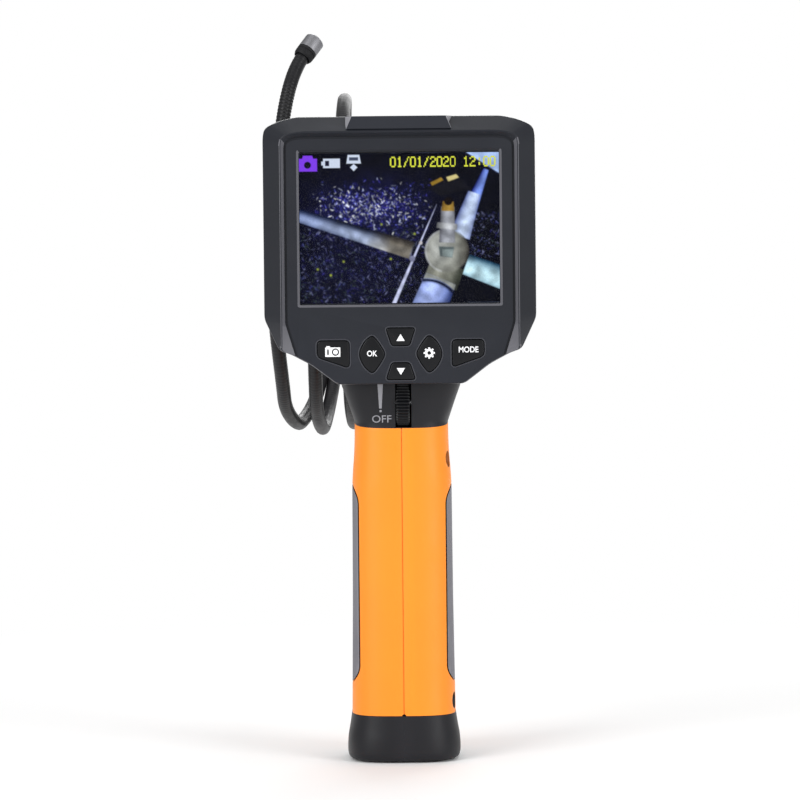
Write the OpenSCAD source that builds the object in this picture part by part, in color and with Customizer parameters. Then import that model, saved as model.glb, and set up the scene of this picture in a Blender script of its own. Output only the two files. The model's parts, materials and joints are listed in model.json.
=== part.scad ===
// Hand-held inspection camera: colour display head on a pistol-straight handle, with a
// plug-in flexible camera probe screwed into the nose behind the display.
// Millimetres. The origin is the centre of the flat underside, +Z runs up the handle,
// the display faces -Y and the probe leaves the nose along +Y.

/* [Head] */
// Half of the head's full width
head_half = 47.8; // [46.8:0.1:49]
// Height of the head's top edge above the underside
head_top = 228.1; // [227.6:0.1:229]
// Depth of the front frame, from its crest to the parting line
frame_depth = 15.6; // [15.2:0.1:16.2]
// Depth of the rear shell, from the parting line to its back wall
rear_depth = 22; // [21:0.5:24]
// Step down from the raised frame to the display panel
panel_step = 1.5; // [1:0.1:1.8]
// Width of the picture on a 3.5 inch display
picture_w = 70.1; // [70:0.1:70.4]
// Height of the picture
picture_h = 52.6; // [52.4:0.1:52.8]
// Height of the picture's centre above the underside
picture_z = 188.95; // [188.5:0.05:189.4]

/* [Keys] */
// How far a key stands out of the panel
key_rise = 0.5; // [0.3:0.1:1.2]
// How far a key can be pushed in
key_travel = 0.8; // [0.5:0.1:1]
// Gap between a key and its hole
key_gap = 0.2; // [0.15:0.01:0.25]

/* [Handle] */
// Thickness of the coloured handle covers and the rubber grips
cover_t = 1.4; // [1.2:0.1:1.5]
// Wall of the black body shells inside the handle
core_wall = 1.3; // [1.2:0.1:1.4]
// Width of the groove between a grip and its cover
grip_gap = 0.8; // [0.4:0.1:1]
// Radius of the dimmer thumbwheel
wheel_r = 9.6; // [9.4:0.1:9.7]
// Number of ridges on the thumbwheel
wheel_ridges = 50; // [40:1:70]

/* [Probe] */
// Height of the nose axis above the underside
nose_z = 185; // [184:0.5:186]
// Outer radius of the nose's screw thread
thread_r = 9; // [8.9:0.1:9.2]
// Pitch of the nose's screw thread
thread_pitch = 1.5; // [1.25:0.25:1.5]
// Radius of the flexible cable
cable_r = 2.6; // [2.3:0.1:2.7]
// Radius of the camera head
camera_r = 3.7; // [3.5:0.1:3.9]
// Radius of the cable coil
coil_r = 61; // [60:0.5:61.5]
// Depth of the coil's centre behind the handle axis
coil_y = 76; // [76:0.5:80]

/* [Hidden] */
$fn = 48;

// Room left between two parts that only touch
fit = 0.05;
// Head depths: parting plane at part_y, frame crest in front, back wall behind
part_y = -14;
front_y = part_y - 0.4 - frame_depth;
back_y = part_y + rear_depth;
panel_y = front_y + panel_step;
panel_back = panel_y + 2;
lens_y = panel_y + 0.85;
lens_t = 1.2;
// Depths of the display stack, front face of each layer
gasket_y = lens_y + lens_t + fit;
lcd_y = gasket_y + 0.65;
tray_y = lcd_y + 1.75;
board_y = -17.6;
board_t = 1.6;
lcd_w = 76.9;
lcd_h = 63.9;
lcd_z = picture_z - 2;

// Right half of the head's silhouette, top to bottom
side_x = head_half;
top_z = head_top;
silhouette = [
    [36, top_z], [41.2, top_z - 1.1], [45.5, top_z - 2.8], [side_x - 0.5, top_z - 4.3],
    [side_x, top_z - 7.1], [side_x, 157.3], [42.6, 146.2], [38.5, 144.8],
    [31.4, 141], [22.3, 134.1]
];
// Right half of the raised frame's crest
crest = [
    [34, top_z - 5.1], [37.4, top_z - 5.5], [40, top_z - 6.3], [side_x - 6.5, top_z - 7.3],
    [side_x - 5.9, top_z - 9.3], [side_x - 5.9, 157.3], [side_x - 5.9, 146.4],
    [38.4, 145.5], [31.1, 141.7], [22, 134.8]
];
// Right half of the recess that holds the display panel, open at the bottom
recess = [
    [33.5, top_z - 6.9], [37, top_z - 7.2], [39.2, top_z - 8.1], [40.1, top_z - 9.1],
    [side_x - 7.4, top_z - 10.6], [side_x - 7.4, 155.8], [36.9, 144.4], [36.9, 130]
];
// Right half of the hollow behind the panel
hollow = [
    [34.5, top_z - 4.1], [38, top_z - 4.9], [41, top_z - 6.1], [side_x - 4.8, top_z - 7.7],
    [side_x - 4.2, top_z - 9.7], [side_x - 4.2, 158.3], [39.2, 148.2], [37.6, 147],
    [30.6, 142.9], [21.6, 135.7]
];
// Right half of the head's back face
back_half = [
    [34, top_z - 7], [36.6, top_z - 7.3], [38.8, top_z - 8.3], [40.2, top_z - 9.8],
    [side_x - 7, top_z - 12], [side_x - 7, 159], [37.2, 151.3], [34.5, 150.2],
    [28.2, 146.8], [20.3, 141.1]
];
// Right half of the circuit board
board_half = [
    [34, 223], [36, 221], [36, 150], [33.5, 147], [29.5, 143.2], [21, 136.3]
];

// Key outlines, seen from the front, with each key's plunger centre
corner_key = [[29.2, 149.6], [29.2, 144], [18.1, 140.1], [18.1, 149.6]];
almond_key = [
    [9.9, 151.5], [12.6, 149.3], [14.1, 146.5], [14.4, 144.8], [14.1, 143.1],
    [12.6, 140.2], [9.9, 138], [7.4, 141.2], [5.4, 144.8], [7.4, 148.4]
];
up_key = [[-5.05, 153.9], [5.05, 153.9], [3.1, 147.8], [-3.1, 147.8]];
down_key = [[-3.1, 141.7], [3.1, 141.7], [5.05, 135.9], [-5.05, 135.9]];
corner_at = [23.7, 145.6];
almond_at = [10, 144.8];
up_at = [0, 150.8];
down_at = [0, 138.9];
switch_w = 4.4;
switch_front = board_y - fit - 3.9;
plunger_end = switch_front - key_travel - 0.05;

// Handle half width and half depth by height, over the coloured covers
cover_w = [[16.2, 18.5], [57, 17.95], [99, 17.75], [110, 16.85], [120, 16.65]];
cover_d = [[16.2, 19.8], [57, 19.2], [99, 18.8], [110, 17.8], [120, 17.2]];
cover_lo = 16.3;
cover_hi = 119.9;
// Levels at which the handle is drawn
handle_z = [cover_lo, 28, 42, 57, 78, 99, 104.5, 110, cover_hi];
// Black foot: [height, half width, half depth]
foot_rings = [
    [0, 16.6, 17.9], [0.5, 18.4, 19.7], [1.4, 19.4, 20.7], [3.4, 20.1, 21.4],
    [7.6, 20.1, 21.4], [12, 19.2, 20.5], [cover_lo - 0.1, 18.6, 19.9]
];
// Black neck and the spine inside the head: [height, half width, half depth, centre Y]
neck_rings = [
    [cover_hi + 0.1, 16.65, 17.2, 0], [127.8, 19.3, 18.6, 0], [133.9, 21.4, 19.2, -0.6],
    [137, 21.4, 18.4, -0.6], [150, 18, 15, 0], [164, 13, 12, 2]
];
ring_steps = 20;
corner_n = 3.2;
// Half of the gap between left and right parts, and the reach of a hollow across it
seam = 0.03;
across = -2;
cavity_lo = 6.4;

// Grip outline, seen from the front, on the right side
grip_x = 15.3;
grip_shape = [[grip_x, 32], [grip_x, 93.9], [21, 106.2], [21, 22.2]];

// Screws that clamp the two body shells, [Y, Z], and the four that hold the frame, [X, Z]
shell_screws = [[-9.2, 20.7], [12, 20.7], [-9.2, 106.8], [12, 106.8]];
boss_r = 2.3;
recess_r = 2.2;
frame_screws = [[41.2, 212], [41.2, 162]];
board_posts = [[20, 221.2], [33.2, 150.9]];

// Thumbwheel
wheel_x = 0.6;
wheel_w = 4.8;
wheel_y = -10.7;
wheel_z = 127.3;
slot_lo = 118.4;
axle_r = 1.5;
run = 0.06;

// Batteries: two columns of two AA cells
cell_r = 7.1;
cell_h = 50.5;
cell_y = 0.3;
cell_x = 7.15;
cell_lo = 10;
cradle_hi = cell_lo + 2 * cell_h + 3.2;

// Battery door hinge
door_y = -10.2;
door_z = 1.9;
lug_x = 12.2;
lug_y = door_y + 3.8;
knuckle_r = 1.7;
pin_r = 0.8;

// Side port
port_lo = 172;
port_hi = 204;
port_hinge = [side_x - 0.75, -1.7];

// Nose and probe connector, depths along Y
nose_end = 40;
thread_end = nose_end + 10;
thread_root = thread_r - 0.7;
bore_r = 6.1;
flange_y = thread_end + 0.3;
collar_hi = flange_y + 5.6;
relief_end = flange_y + 26;
shaft_r = 7;

// Cable coil: [turn angle, lateral place, radius]. The angle starts on the far side of
// the coil and goes down, round the near side and over the top.
coil_plan = [
    [25, -14, 61], [90, -22, 61], [180, -25.5, 61], [270, -20, 61], [360, -21.5, 61],
    [450, -28.6, 61], [540, -31.4, 58], [630, -27, 49], [720, -31, 56], [810, -38.3, 61],
    [900, -45.2, 61]
];
coil_z = 176;
coil_steps = 112;
coil_from = coil_plan[0][0];
coil_to = coil_plan[len(coil_plan) - 1][0];
cable_sides = 12;
// Where the camera head starts, and the way it looks
camera_at = [-35.2, 39.5, 251.2];
camera_dir = [0.53, 0.45, 0.72] / norm([0.53, 0.45, 0.72]);
// Share of the free end that stays with the coil: the probe bends here
bend_at = 0.5;

// ---- Helpers ----

function both(half) = concat(half, [for (i = [len(half) - 1:-1:0]) [-half[i].x, half[i].y]]);
function unit(v) = v / norm(v);
function right_of(a, b) = let (e = unit(b - a)) [e.y, -e.x];
// Polygon drawn clockwise, moved inwards by d (outwards when d is negative)
function inset(pts, d) =
    let (n = len(pts))
    [for (i = [0:n - 1])
        let (
            a = right_of(pts[(i + n - 1) % n], pts[i]),
            b = right_of(pts[i], pts[(i + 1) % n])
        )
        pts[i] + d * (a + b) / (1 + a * b)];
function rect(w, h, cz) = [[-w / 2, cz + h / 2], [w / 2, cz + h / 2], [w / 2, cz - h / 2], [-w / 2, cz - h / 2]];
function signed_pow(v, p) = sign(v) * pow(abs(v), p);
// Right half of a rounded-square ring at one height, closed by a straight edge at x0
function half_ring(hw, hd, z, x0, cy = 0) =
    [for (i = [0:ring_steps])
        let (a = 180 * i / ring_steps - 90)
        [
            i == 0 || i == ring_steps ? x0 : hw * pow(cos(a), 2 / corner_n),
            cy + hd * signed_pow(sin(a), 2 / corner_n), z
        ]];
function at_depth(pts, y) = [for (p = pts) [p.x, y, p.y]];
// Right half of an outline, closed by a straight edge at x0
function half_of(right, x0) =
    concat([[x0, right[0].y]], right, [[x0, right[len(right) - 1].y]]);
// Outline part of the way from a to b
function between(a, b, share) = [for (i = [0:len(a) - 1]) a[i] + share * (b[i] - a[i])];

// Solid skin over a stack of rings of equal point count
module skin(rings) {
    n = len(rings[0]);
    m = len(rings);
    sides = [for (j = [0:m - 2], i = [0:n - 1])
        let (k = (i + 1) % n)
        [j * n + k, j * n + i, (j + 1) * n + i, (j + 1) * n + k]];
    ends = [[for (i = [0:n - 1]) i], [for (i = [n - 1:-1:0]) (m - 1) * n + i]];
    polyhedron([for (r = rings) each r], concat(sides, ends), convexity = 8);
}

// Flat plate: an outline in X and Z, from depth y0 to y1
module plate(pts, y0, y1) {
    translate([0, y1, 0])
        rotate([90, 0, 0])
            linear_extrude(y1 - y0)
                polygon(pts);
}

// Frame-shaped plate between two outlines
module frame_plate(outer, inner, y0, y1) {
    difference() {
        plate(outer, y0, y1);
        plate(inner, y0 - 1, y1 + 1);
    }
}

module block(x, y, z) {
    translate([x[0], y[0], z[0]])
        cube([x[1] - x[0], y[1] - y[0], z[1] - z[0]]);
}

// Round bar along Y, from y0 to y1
module bar_y(x, z, r, y0, y1) {
    translate([x, y0, z])
        rotate([-90, 0, 0])
            cylinder(r = r, h = y1 - y0);
}

// Round bar along X, from x0 to x1
module bar_x(y, z, r, x0, x1) {
    translate([x0, y, z])
        rotate([0, 90, 0])
            cylinder(r = r, h = x1 - x0);
}

// Shape turned about the nose axis from a [radius, depth] outline
module turned(profile) {
    translate([0, 0, nose_z])
        rotate([-90, 0, 0])
            rotate_extrude($fn = 96)
                polygon(profile);
}

module four_corners(places) {
    for (p = places, s = [-1, 1])
        translate([s * p[0], 0, p[1]])
            children();
}

// ---- Cable path ----

// Value between plan points, eased so that the coil has no kinks
function eased(t, column, i = 0) =
    t > coil_plan[i + 1][0] && i < len(coil_plan) - 2
        ? eased(t, column, i + 1)
        : let (
            a = coil_plan[i],
            b = coil_plan[i + 1],
            u = (t - a[0]) / (b[0] - a[0]),
            s = u * u * (3 - 2 * u)
        ) a[column] + (b[column] - a[column]) * (0.35 * u + 0.65 * s);
function coil_point(t) =
    let (r = eased(t, 2))
    [eased(t, 1), coil_y + r * cos(t), coil_z - r * sin(t)];
function bezier(p, u) =
    let (v = 1 - u)
    v * v * v * p[0] + 3 * v * v * u * p[1] + 3 * v * u * u * p[2] + u * u * u * p[3];

coil_start = coil_point(coil_from);
coil_end = coil_point(coil_to);
lead_in = [
    [0, relief_end + 0.6, nose_z], [0, relief_end + 26, nose_z],
    coil_start - 24 * unit([-0.15, -sin(coil_from), -cos(coil_from)]), coil_start
];
tail = [
    coil_end, coil_end + [2.7, 0, 40], camera_at - 14 * camera_dir, camera_at + 1.5 * camera_dir
];
coil_path = concat(
    [[0, relief_end - 4, nose_z]],
    [for (i = [0:9]) bezier(lead_in, i / 10)],
    [for (i = [0:coil_steps]) coil_point(coil_from + (coil_to - coil_from) * i / coil_steps)],
    [for (i = [1:8]) bezier(tail, bend_at * i / 8 - (i == 8 ? 0.036 : 0))]
);
tip_path = [for (i = [0:12]) bezier(tail, bend_at + (1 - bend_at) * i / 12)];
bend_point = bezier(tail, bend_at);

// Round tube along a path. The rings are squared up against the X axis, which the
// coil never runs along.
module sweep(path, r, sides) {
    n = len(path);
    rings = [for (i = [0:n - 1])
        let (
            t = unit(path[min(i + 1, n - 1)] - path[max(i - 1, 0)]),
            u = unit([1, 0, 0] - t.x * t),
            v = cross(t, u)
        )
        [for (k = [0:sides - 1])
            path[i] + r * (cos(360 * k / sides) * u + sin(360 * k / sides) * v)]];
    skin(rings);
}

// Moves the camera head from the origin, looking up, to the cable's end
module at_camera() {
    translate(camera_at)
        rotate([0, acos(camera_dir.z), atan2(camera_dir.y, camera_dir.x)])
            children();
}

// ---- Display head ----

module head_bezel() {
    color("#3a3b40")
        difference() {
            union() {
                skin([
                    at_depth(both(crest), front_y),
                    at_depth(both(silhouette), front_y + 5.5),
                    at_depth(both(silhouette), part_y - 0.4)
                ]);
                // Raised centre block on the brow
                plate(
                    [[-19, top_z], [19, top_z], [17.6, top_z - 4.4], [-17.6, top_z - 4.4]],
                    front_y + 0.3, front_y + 7
                );
            }
            plate(both(recess), front_y - 1, panel_y);
            difference() {
                plate(both(hollow), panel_back, part_y);
                four_corners(frame_screws)
                    bar_y(0, 0, 2.3, panel_back - 1, part_y);
                four_corners(board_posts)
                    bar_y(0, 0, 1.9, panel_back - 1, board_y - fit);
            }
            plate(rect(picture_w + 0.2, picture_h + 0.9, picture_z), panel_y - 1, panel_back + 1);
            plate(rect(74.4, 57.4, picture_z), lens_y - fit, panel_back + 1);
            four_corners(frame_screws)
                bar_y(0, 0, 1.25, -24.6, part_y);
            four_corners(board_posts)
                bar_y(0, 0, 0.85, -24.6, part_y);
            for (s = [-1, 1]) {
                scale_x(s) key_hole(corner_key);
                scale_x(s) key_hole(almond_key);
            }
            key_hole(up_key);
            key_hole(down_key);
            wheel_slot();
        }
}

module key_hole(outline) {
    plate(inset(outline, -key_gap), panel_y - 1, panel_back + 1);
}

// Mirrors its children in X when s is -1
module scale_x(s) {
    if (s < 0)
        mirror([1, 0, 0])
            children();
    else
        children();
}

module head_seal() {
    color("#202124")
        difference() {
            frame_plate(
                inset(both(silhouette), 0.5), inset(both(silhouette), 1.5),
                part_y - 0.36, part_y - 0.04
            );
            wheel_slot();
        }
}

module screen_lens() {
    color("#8fa0a8", 0.4)
        plate(rect(74, 57, picture_z), lens_y, lens_y + lens_t);
}

module lcd_gasket() {
    color("#18181a")
        frame_plate(
            rect(76.4, 60, picture_z), rect(71.6, 54.6, picture_z), gasket_y, gasket_y + 0.6
        );
}

module lcd_panel() {
    color("#101c33")
        plate(rect(lcd_w, lcd_h, lcd_z), lcd_y, lcd_y + 1.7);
}

module backlight() {
    color("#e8ecf0")
        plate(rect(lcd_w - 2.4, lcd_h - 2.4, lcd_z), tray_y, tray_y + 1.4);
}

module lcd_tray() {
    color("#b8bcc0")
        difference() {
            plate(rect(lcd_w, lcd_h, lcd_z), tray_y, tray_y + 2);
            plate(rect(lcd_w - 2, lcd_h - 2, lcd_z), tray_y - 1, tray_y + 1.5);
        }
}

module main_board() {
    color("#1f6b3a")
        difference() {
            plate(both(board_half), board_y, board_y + board_t);
            four_corners(board_posts)
                bar_y(0, 0, 1.1, board_y - 1, board_y + board_t + 1);
        }
}

module board_chips() {
    back = board_y + board_t + fit;
    color("#1b1b1d") {
        block([-9, 9], [back, back + 1.4], [186, 204]);
        block([-26, -14], [back, back + 1.2], [190, 200]);
        block([14, 27], [back, back + 1.6], [170, 181]);
        block([-26, -17], [back, back + 1.2], [166, 175]);
        block([-8, 8], [back, back + 2.6], [160, 165]);
    }
}

module key_switch(at) {
    color("#c9cbcd") {
        block(
            [at.x - switch_w / 2, at.x + switch_w / 2],
            [board_y - fit - 3.1, board_y - fit],
            [at.y - switch_w / 2, at.y + switch_w / 2]
        );
        bar_y(at.x, at.y, 1.5, switch_front, board_y - fit - 3);
    }
}

module key_switches() {
    for (s = [-1, 1]) {
        key_switch([s * corner_at.x, corner_at.y]);
        key_switch([s * almond_at.x, almond_at.y]);
    }
    key_switch(up_at);
    key_switch(down_at);
}

module board_screws() {
    seat = board_y + board_t + fit;
    color("#c0c2c4")
        four_corners(board_posts) {
            bar_y(0, 0, 0.8, -24, seat + 0.5);
            bar_y(0, 0, 1.7, seat, seat + 1.1);
        }
}

// Key cap with side flanges that keep it in the panel, and a plunger over its switch
module key(outline, at) {
    middle = at.x;
    flange = [for (p = outline) [p.x + (p.x > middle ? 0.8 : p.x < middle ? -0.8 : 0), p.y]];
    color("#1e1f24") {
        plate(outline, panel_y - key_rise, panel_back + 0.9);
        plate(flange, panel_back + 0.1, panel_back + 0.9);
        bar_y(at.x, at.y, 1.6, panel_back + 0.5, plunger_end);
    }
}

module key_camera() {
    mirror([1, 0, 0])
        key(corner_key, corner_at);
}

module key_mode() {
    key(corner_key, corner_at);
}

module key_ok() {
    mirror([1, 0, 0])
        key(almond_key, almond_at);
}

module key_settings() {
    key(almond_key, almond_at);
}

module key_up() {
    key(up_key, up_at);
}

module key_down() {
    key(down_key, down_at);
}

// ---- Body shells ----

// Half ring of the body inside the covers at height z, less a wall
function core_ring(z, x0, less = 0) =
    let (level = max(z, cover_lo))
    half_ring(
        lookup(level, cover_w) - cover_t - fit - less,
        lookup(level, cover_d) - cover_t - fit - less, z, x0
    );

// Right shell as a solid
module shell_outside() {
    skin(concat(
        [for (f = foot_rings) half_ring(f[1], f[2], f[0], seam)],
        [for (z = handle_z) core_ring(z, seam)],
        [for (f = neck_rings) half_ring(f[1], f[2], f[0], seam, f[3])]
    ));
    skin([
        at_depth(half_of(silhouette, seam), part_y),
        at_depth(half_of(silhouette, seam), back_y - 10),
        at_depth(half_of(between(silhouette, back_half, 0.3), seam), back_y - 4),
        at_depth(half_of(back_half, seam), back_y)
    ]);
    difference() {
        turned([
            [0, 0], [22, 0], [21.5, back_y], [20, 13], [17, 22], [14.4, 32],
            [13.8, nose_end], [0, nose_end]
        ]);
        block([-40, seam], [-1, nose_end + 1], [nose_z - 40, nose_z + 40]);
    }
}

// Hollow of the right shell, reaching across the seam
module shell_hollow() {
    // Handle and neck
    skin(concat(
        [for (z = [cavity_lo, 28, 57, 99, 110, cover_hi]) core_ring(z, across, core_wall)],
        [
            half_ring(17.3, 16.8, 128, across), half_ring(19, 16.8, 133, across),
            half_ring(15.6, 12.6, 150, across)
        ]
    ));
    // Head, in two steps so that the wall follows the rounded back
    plate(inset(both(silhouette), 2.2), part_y - 1, back_y - 8);
    plate(inset(both(back_half), 1.2), part_y - 1, back_y - 2.2);
    // Nose
    turned([[0, 0], [17, 0], [17, 11], [14.8, 20], [12.2, 30], [11.6, 36.4], [0, 36.4]]);
}

// Solid parts left standing inside the hollow
module shell_ribs() {
    for (p = shell_screws) {
        bar_x(p[0], p[1], boss_r, -30, 30);
        block([-30, 30], [p[0] > 0 ? p[0] : -20, p[0] > 0 ? 20 : p[0]], [p[1] - 0.9, p[1] + 0.9]);
    }
    four_corners(frame_screws)
        bar_y(0, 0, 4.6, part_y - 2, 10);
    for (s = [-1, 1])
        block(
            s < 0 ? [-25, -4.2] : [8, 25],
            [wheel_y - 4, wheel_y + 4], [wheel_z - 4, wheel_z + 4]
        );
}

// Room for the thumbwheel in the front wall, the covers and the bezel's lower edge
module wheel_slot() {
    block(
        [wheel_x - wheel_w / 2 - 0.3, wheel_x + wheel_w / 2 + 0.6],
        [wheel_y - wheel_r + 1.9, wheel_y], [slot_lo, 137.4]
    );
    block([wheel_x - wheel_w / 2 - 0.3, wheel_x + wheel_w / 2 + 0.6], [-30, wheel_y], [slot_lo, 134]);
}

module shell_cuts() {
    // Screw passages and the recesses that open on the right side
    for (p = shell_screws) {
        bar_x(p[0], p[1], 1.3, -8.5, 30);
        bar_x(p[0], p[1], recess_r, 11.2, 30);
    }
    four_corners(frame_screws) {
        bar_y(0, 0, 1.35, part_y - 2, 10);
        bar_y(0, 0, 2.8, -3, 12);
    }
    // Thumbwheel slot and axle bearings
    wheel_slot();
    bar_x(wheel_y, wheel_z, axle_r + run, -9.5, 9.5);
    // Neck opening into the head
    block([-14, 14], [-11.8, 10], [130, 156]);
    // Room for the cells where the handle narrows
    for (s = [-1, 1])
        translate([s * cell_x, cell_y, 90])
            cylinder(r = cell_r + 0.1, h = cell_lo + 2 * cell_h + 0.2 - 90);
    // Nose end bore for the thread ring
    bar_y(0, nose_z, thread_root - 0.3 + fit, 30, nose_end + 1);
    // Battery bay mouth, door recess and hinge pocket
    block([-15.2, 15.2], [-8.9, 9.8], [-1, cavity_lo + 1]);
    block([-16, 16], [lug_y, 12.2], [-1, 2.1]);
    block([-lug_x, lug_x], [-12.7, lug_y + 1], [-1, 2.1]);
    bar_x(door_y, door_z, knuckle_r + 0.5, -lug_x, lug_x);
    bar_x(door_y, door_z, pin_r + run, -15.6, 15.6);
    // Side port: a shallow pocket for the cover, with two windows
    block([side_x - 1.5, side_x + 2], [-11.2, port_hinge.y + 0.9], [port_lo, port_hi]);
    block([side_x - 4, side_x], [-7.1, -2.8], [175.7, 184]);
    block([side_x - 4, side_x], [-5.5, -3.3], [189.2, 200.8]);
}

// One shell: side is -1 for the left and 1 for the right
module body_half(side) {
    color("#2f2e33")
        difference() {
            scale_x(side) shell_outside();
            difference() {
                scale_x(side) shell_hollow();
                shell_ribs();
            }
            shell_cuts();
            // The front of the head belongs to the bezel
            block([-60, 60], [-60, part_y], [133.95, 240]);
        }
}

module body_left() {
    body_half(-1);
}

module body_right() {
    body_half(1);
}

module body_screws() {
    color("#c0c2c4")
        for (p = shell_screws) {
            bar_x(p[0], p[1], 1.25, -8, 11.5);
            bar_x(p[0], p[1], recess_r - 0.2, 11.25, 13);
        }
}

module bezel_screws() {
    color("#c0c2c4")
        four_corners(frame_screws) {
            bar_y(0, 0, 1.2, -24, -2.5);
            bar_y(0, 0, 2.5, -2.95, -1.2);
        }
}

// ---- Handle covers and grips ----

// Half ring of a cover's surface at height z, less a thickness
function cover_ring(z, x0, less = 0) =
    half_ring(lookup(z, cover_w) - less, lookup(z, cover_d) - less, z, x0);

module cover_layer() {
    difference() {
        skin([for (z = handle_z) cover_ring(z, seam)]);
        skin(concat(
            [cover_ring(cover_lo - 1, across, cover_t)],
            [for (z = handle_z) cover_ring(z, across, cover_t)],
            [cover_ring(cover_hi + 1, across, cover_t)]
        ));
    }
}

module cover(side) {
    color("#ff9f2e")
        difference() {
            scale_x(side) cover_layer();
            scale_x(side) plate(inset(grip_shape, -grip_gap), -60, 60);
            wheel_slot();
            if (side > 0)
                for (p = shell_screws)
                    bar_x(p[0], p[1], recess_r, 8, 30);
        }
}

module cover_left() {
    cover(-1);
}

module cover_right() {
    cover(1);
}

module grip(side) {
    color("#6f6d73")
        scale_x(side)
            intersection() {
                cover_layer();
                plate(grip_shape, -60, 60);
            }
}

module grip_left() {
    grip(-1);
}

module grip_right() {
    grip(1);
}

// ---- Dimmer thumbwheel ----

module thumbwheel() {
    color("#232327")
        difference() {
            translate([wheel_x - wheel_w / 2, wheel_y, wheel_z])
                rotate([0, 90, 0])
                    linear_extrude(wheel_w)
                        polygon([for (i = [0:2 * wheel_ridges - 1])
                            let (r = wheel_r - (i % 2) * 0.45, a = 180 * i / wheel_ridges)
                            [r * cos(a), r * sin(a)]]);
            bar_x(wheel_y, wheel_z, axle_r, -20, 20);
        }
}

module wheel_axle() {
    color("#b8babd")
        bar_x(wheel_y, wheel_z, axle_r - 0.01, -9.3, 9.3);
}

module dimmer_control() {
    color("#2b5aa0")
        difference() {
            block([4.3, 7.9], [wheel_y - 3.8, wheel_y + 5], [wheel_z - 4.4, wheel_z + 5.2]);
            bar_x(wheel_y, wheel_z, axle_r + run, 0, 20);
        }
}

// ---- Batteries ----

module battery_door() {
    color("#2b2b2f")
        difference() {
            union() {
                difference() {
                    block([-15.8, 15.8], [door_y, 12], [0, 2]);
                    for (s = [-1, 1])
                        block(s < 0 ? [-17, -11.9] : [11.9, 17], [-20, lug_y + 0.5], [-1, 3]);
                }
                bar_x(door_y, door_z, knuckle_r, -11.9, 11.9);
                // Pad that steadies the cradle
                block([-8, 8], [-2, 7], [1.5, 5.6]);
            }
            bar_x(door_y, door_z, pin_r, -13, 13);
            // Finger notch
            block([-5, 5], [10.6, 13], [-1, 0.9]);
        }
}

module door_hinge_pin() {
    color("#b8babd")
        bar_x(door_y, door_z, pin_r - 0.01, -15.4, 15.4);
}

module battery_cradle() {
    color("#26262a") {
        block([-12.6, 12.6], [7.9, 8.9], [6.6, cradle_hi]);
        block([-12.6, 12.6], [-7.4, 8.2], [6.6, 7.8]);
        block([-12.6, 12.6], [-7.4, 8.2], [cradle_hi - 1.2, cradle_hi]);
    }
}

module battery_cells() {
    color("#c7b13a")
        for (s = [-1, 1], row = [0, 1])
            translate([s * cell_x, cell_y, cell_lo + row * (cell_h + 0.1)]) {
                cylinder(r = cell_r, h = cell_h - 1.2);
                cylinder(r = 2.7, h = cell_h);
            }
}

module battery_springs() {
    turns = 2.5;
    steps = 30;
    color("#d0d2d4")
        for (s = [-1, 1])
            translate([s * cell_x, cell_y, 0])
                spring([for (i = [0:steps])
                    let (u = i / steps, r = 4.6 - 1.8 * u, a = 360 * turns * u)
                    [r * cos(a), r * sin(a), 8.25 + 1.45 * u]], 0.26);
}

// Wire tube along a path, with its rings squared up against the Z axis
module spring(path, r) {
    n = len(path);
    sides = 6;
    skin([for (i = [0:n - 1])
        let (
            t = unit(path[min(i + 1, n - 1)] - path[max(i - 1, 0)]),
            u = unit([0, 0, 1] - t.z * t),
            v = cross(t, u)
        )
        [for (k = [0:sides - 1])
            path[i] + r * (cos(360 * k / sides) * u + sin(360 * k / sides) * v)]]);
}

module battery_contacts() {
    color("#d0d2d4") {
        block([-13, 13], [-5, 6], [cradle_hi - 1.65, cradle_hi - 1.25]);
        for (s = [-1, 1])
            block([s * cell_x - 5.2, s * cell_x + 5.2], [-5, 6], [7.82, 7.97]);
    }
}

module wiring() {
    for (s = [-1, 1])
        color(s < 0 ? "#222222" : "#b03028")
            sweep([for (i = [0:10]) bezier([
                [s * 3, 8 + s * 0.2, cradle_hi + 1.2], [s * 4, 9, cradle_hi + 14],
                [s * 6, -1, 146], [s * 7, -11.6, 152]
            ], i / 10)], 0.8, 8);
}

// ---- Side port ----

module port_cover() {
    x = port_hinge.x;
    y = port_hinge.y;
    color("#2a2a2d")
        union() {
            block([x - 0.65, x + 0.65], [-11, y], [port_lo + 0.2, port_hi - 0.2]);
            translate([x, y, port_lo + 0.2])
                cylinder(r = 0.65, h = port_hi - port_lo - 0.4);
        }
}

module port_board() {
    color("#1f6b3a")
        block([20, 44.4], [-2.9, -1.4], [port_lo + 1, port_hi - 1]);
}

module usb_socket() {
    color("#c4c6c9")
        difference() {
            block([36.6, 45.4], [-6.9, -2.95], [176, 183.7]);
            block([38, 46], [-6.4, -3.45], [176.5, 183.2]);
        }
}

module card_socket() {
    color("#c4c6c9")
        difference() {
            block([30, 45.2], [-5.4, -2.95], [189.3, 200.7]);
            block([31, 46], [-4.9, -3.45], [189.7, 200.3]);
        }
}

module memory_card() {
    color("#1d1d20")
        block([31.2, 46.1], [-4.6, -3.8], [189.8, 200.2]);
}

// ---- Nose and probe ----

function thread_profile() = [for (i = [0:5])
    let (y = nose_end + 0.8 + i * thread_pitch)
    each [[thread_root, y], [thread_r, y + 0.3], [thread_r, y + 0.6], [thread_root, y + 0.95]]];

module nose_ring() {
    color("#8d8f93")
        turned(concat(
            [[bore_r, 33.6], [11, 33.6], [11, 36.2], [thread_root - 0.3, 36.2], [thread_root - 0.3, nose_end + 0.1]],
            [[thread_root, nose_end + 0.1]],
            thread_profile(),
            [[thread_root, thread_end - 0.2], [thread_root - 0.4, thread_end], [bore_r, thread_end]]
        ));
}

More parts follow.
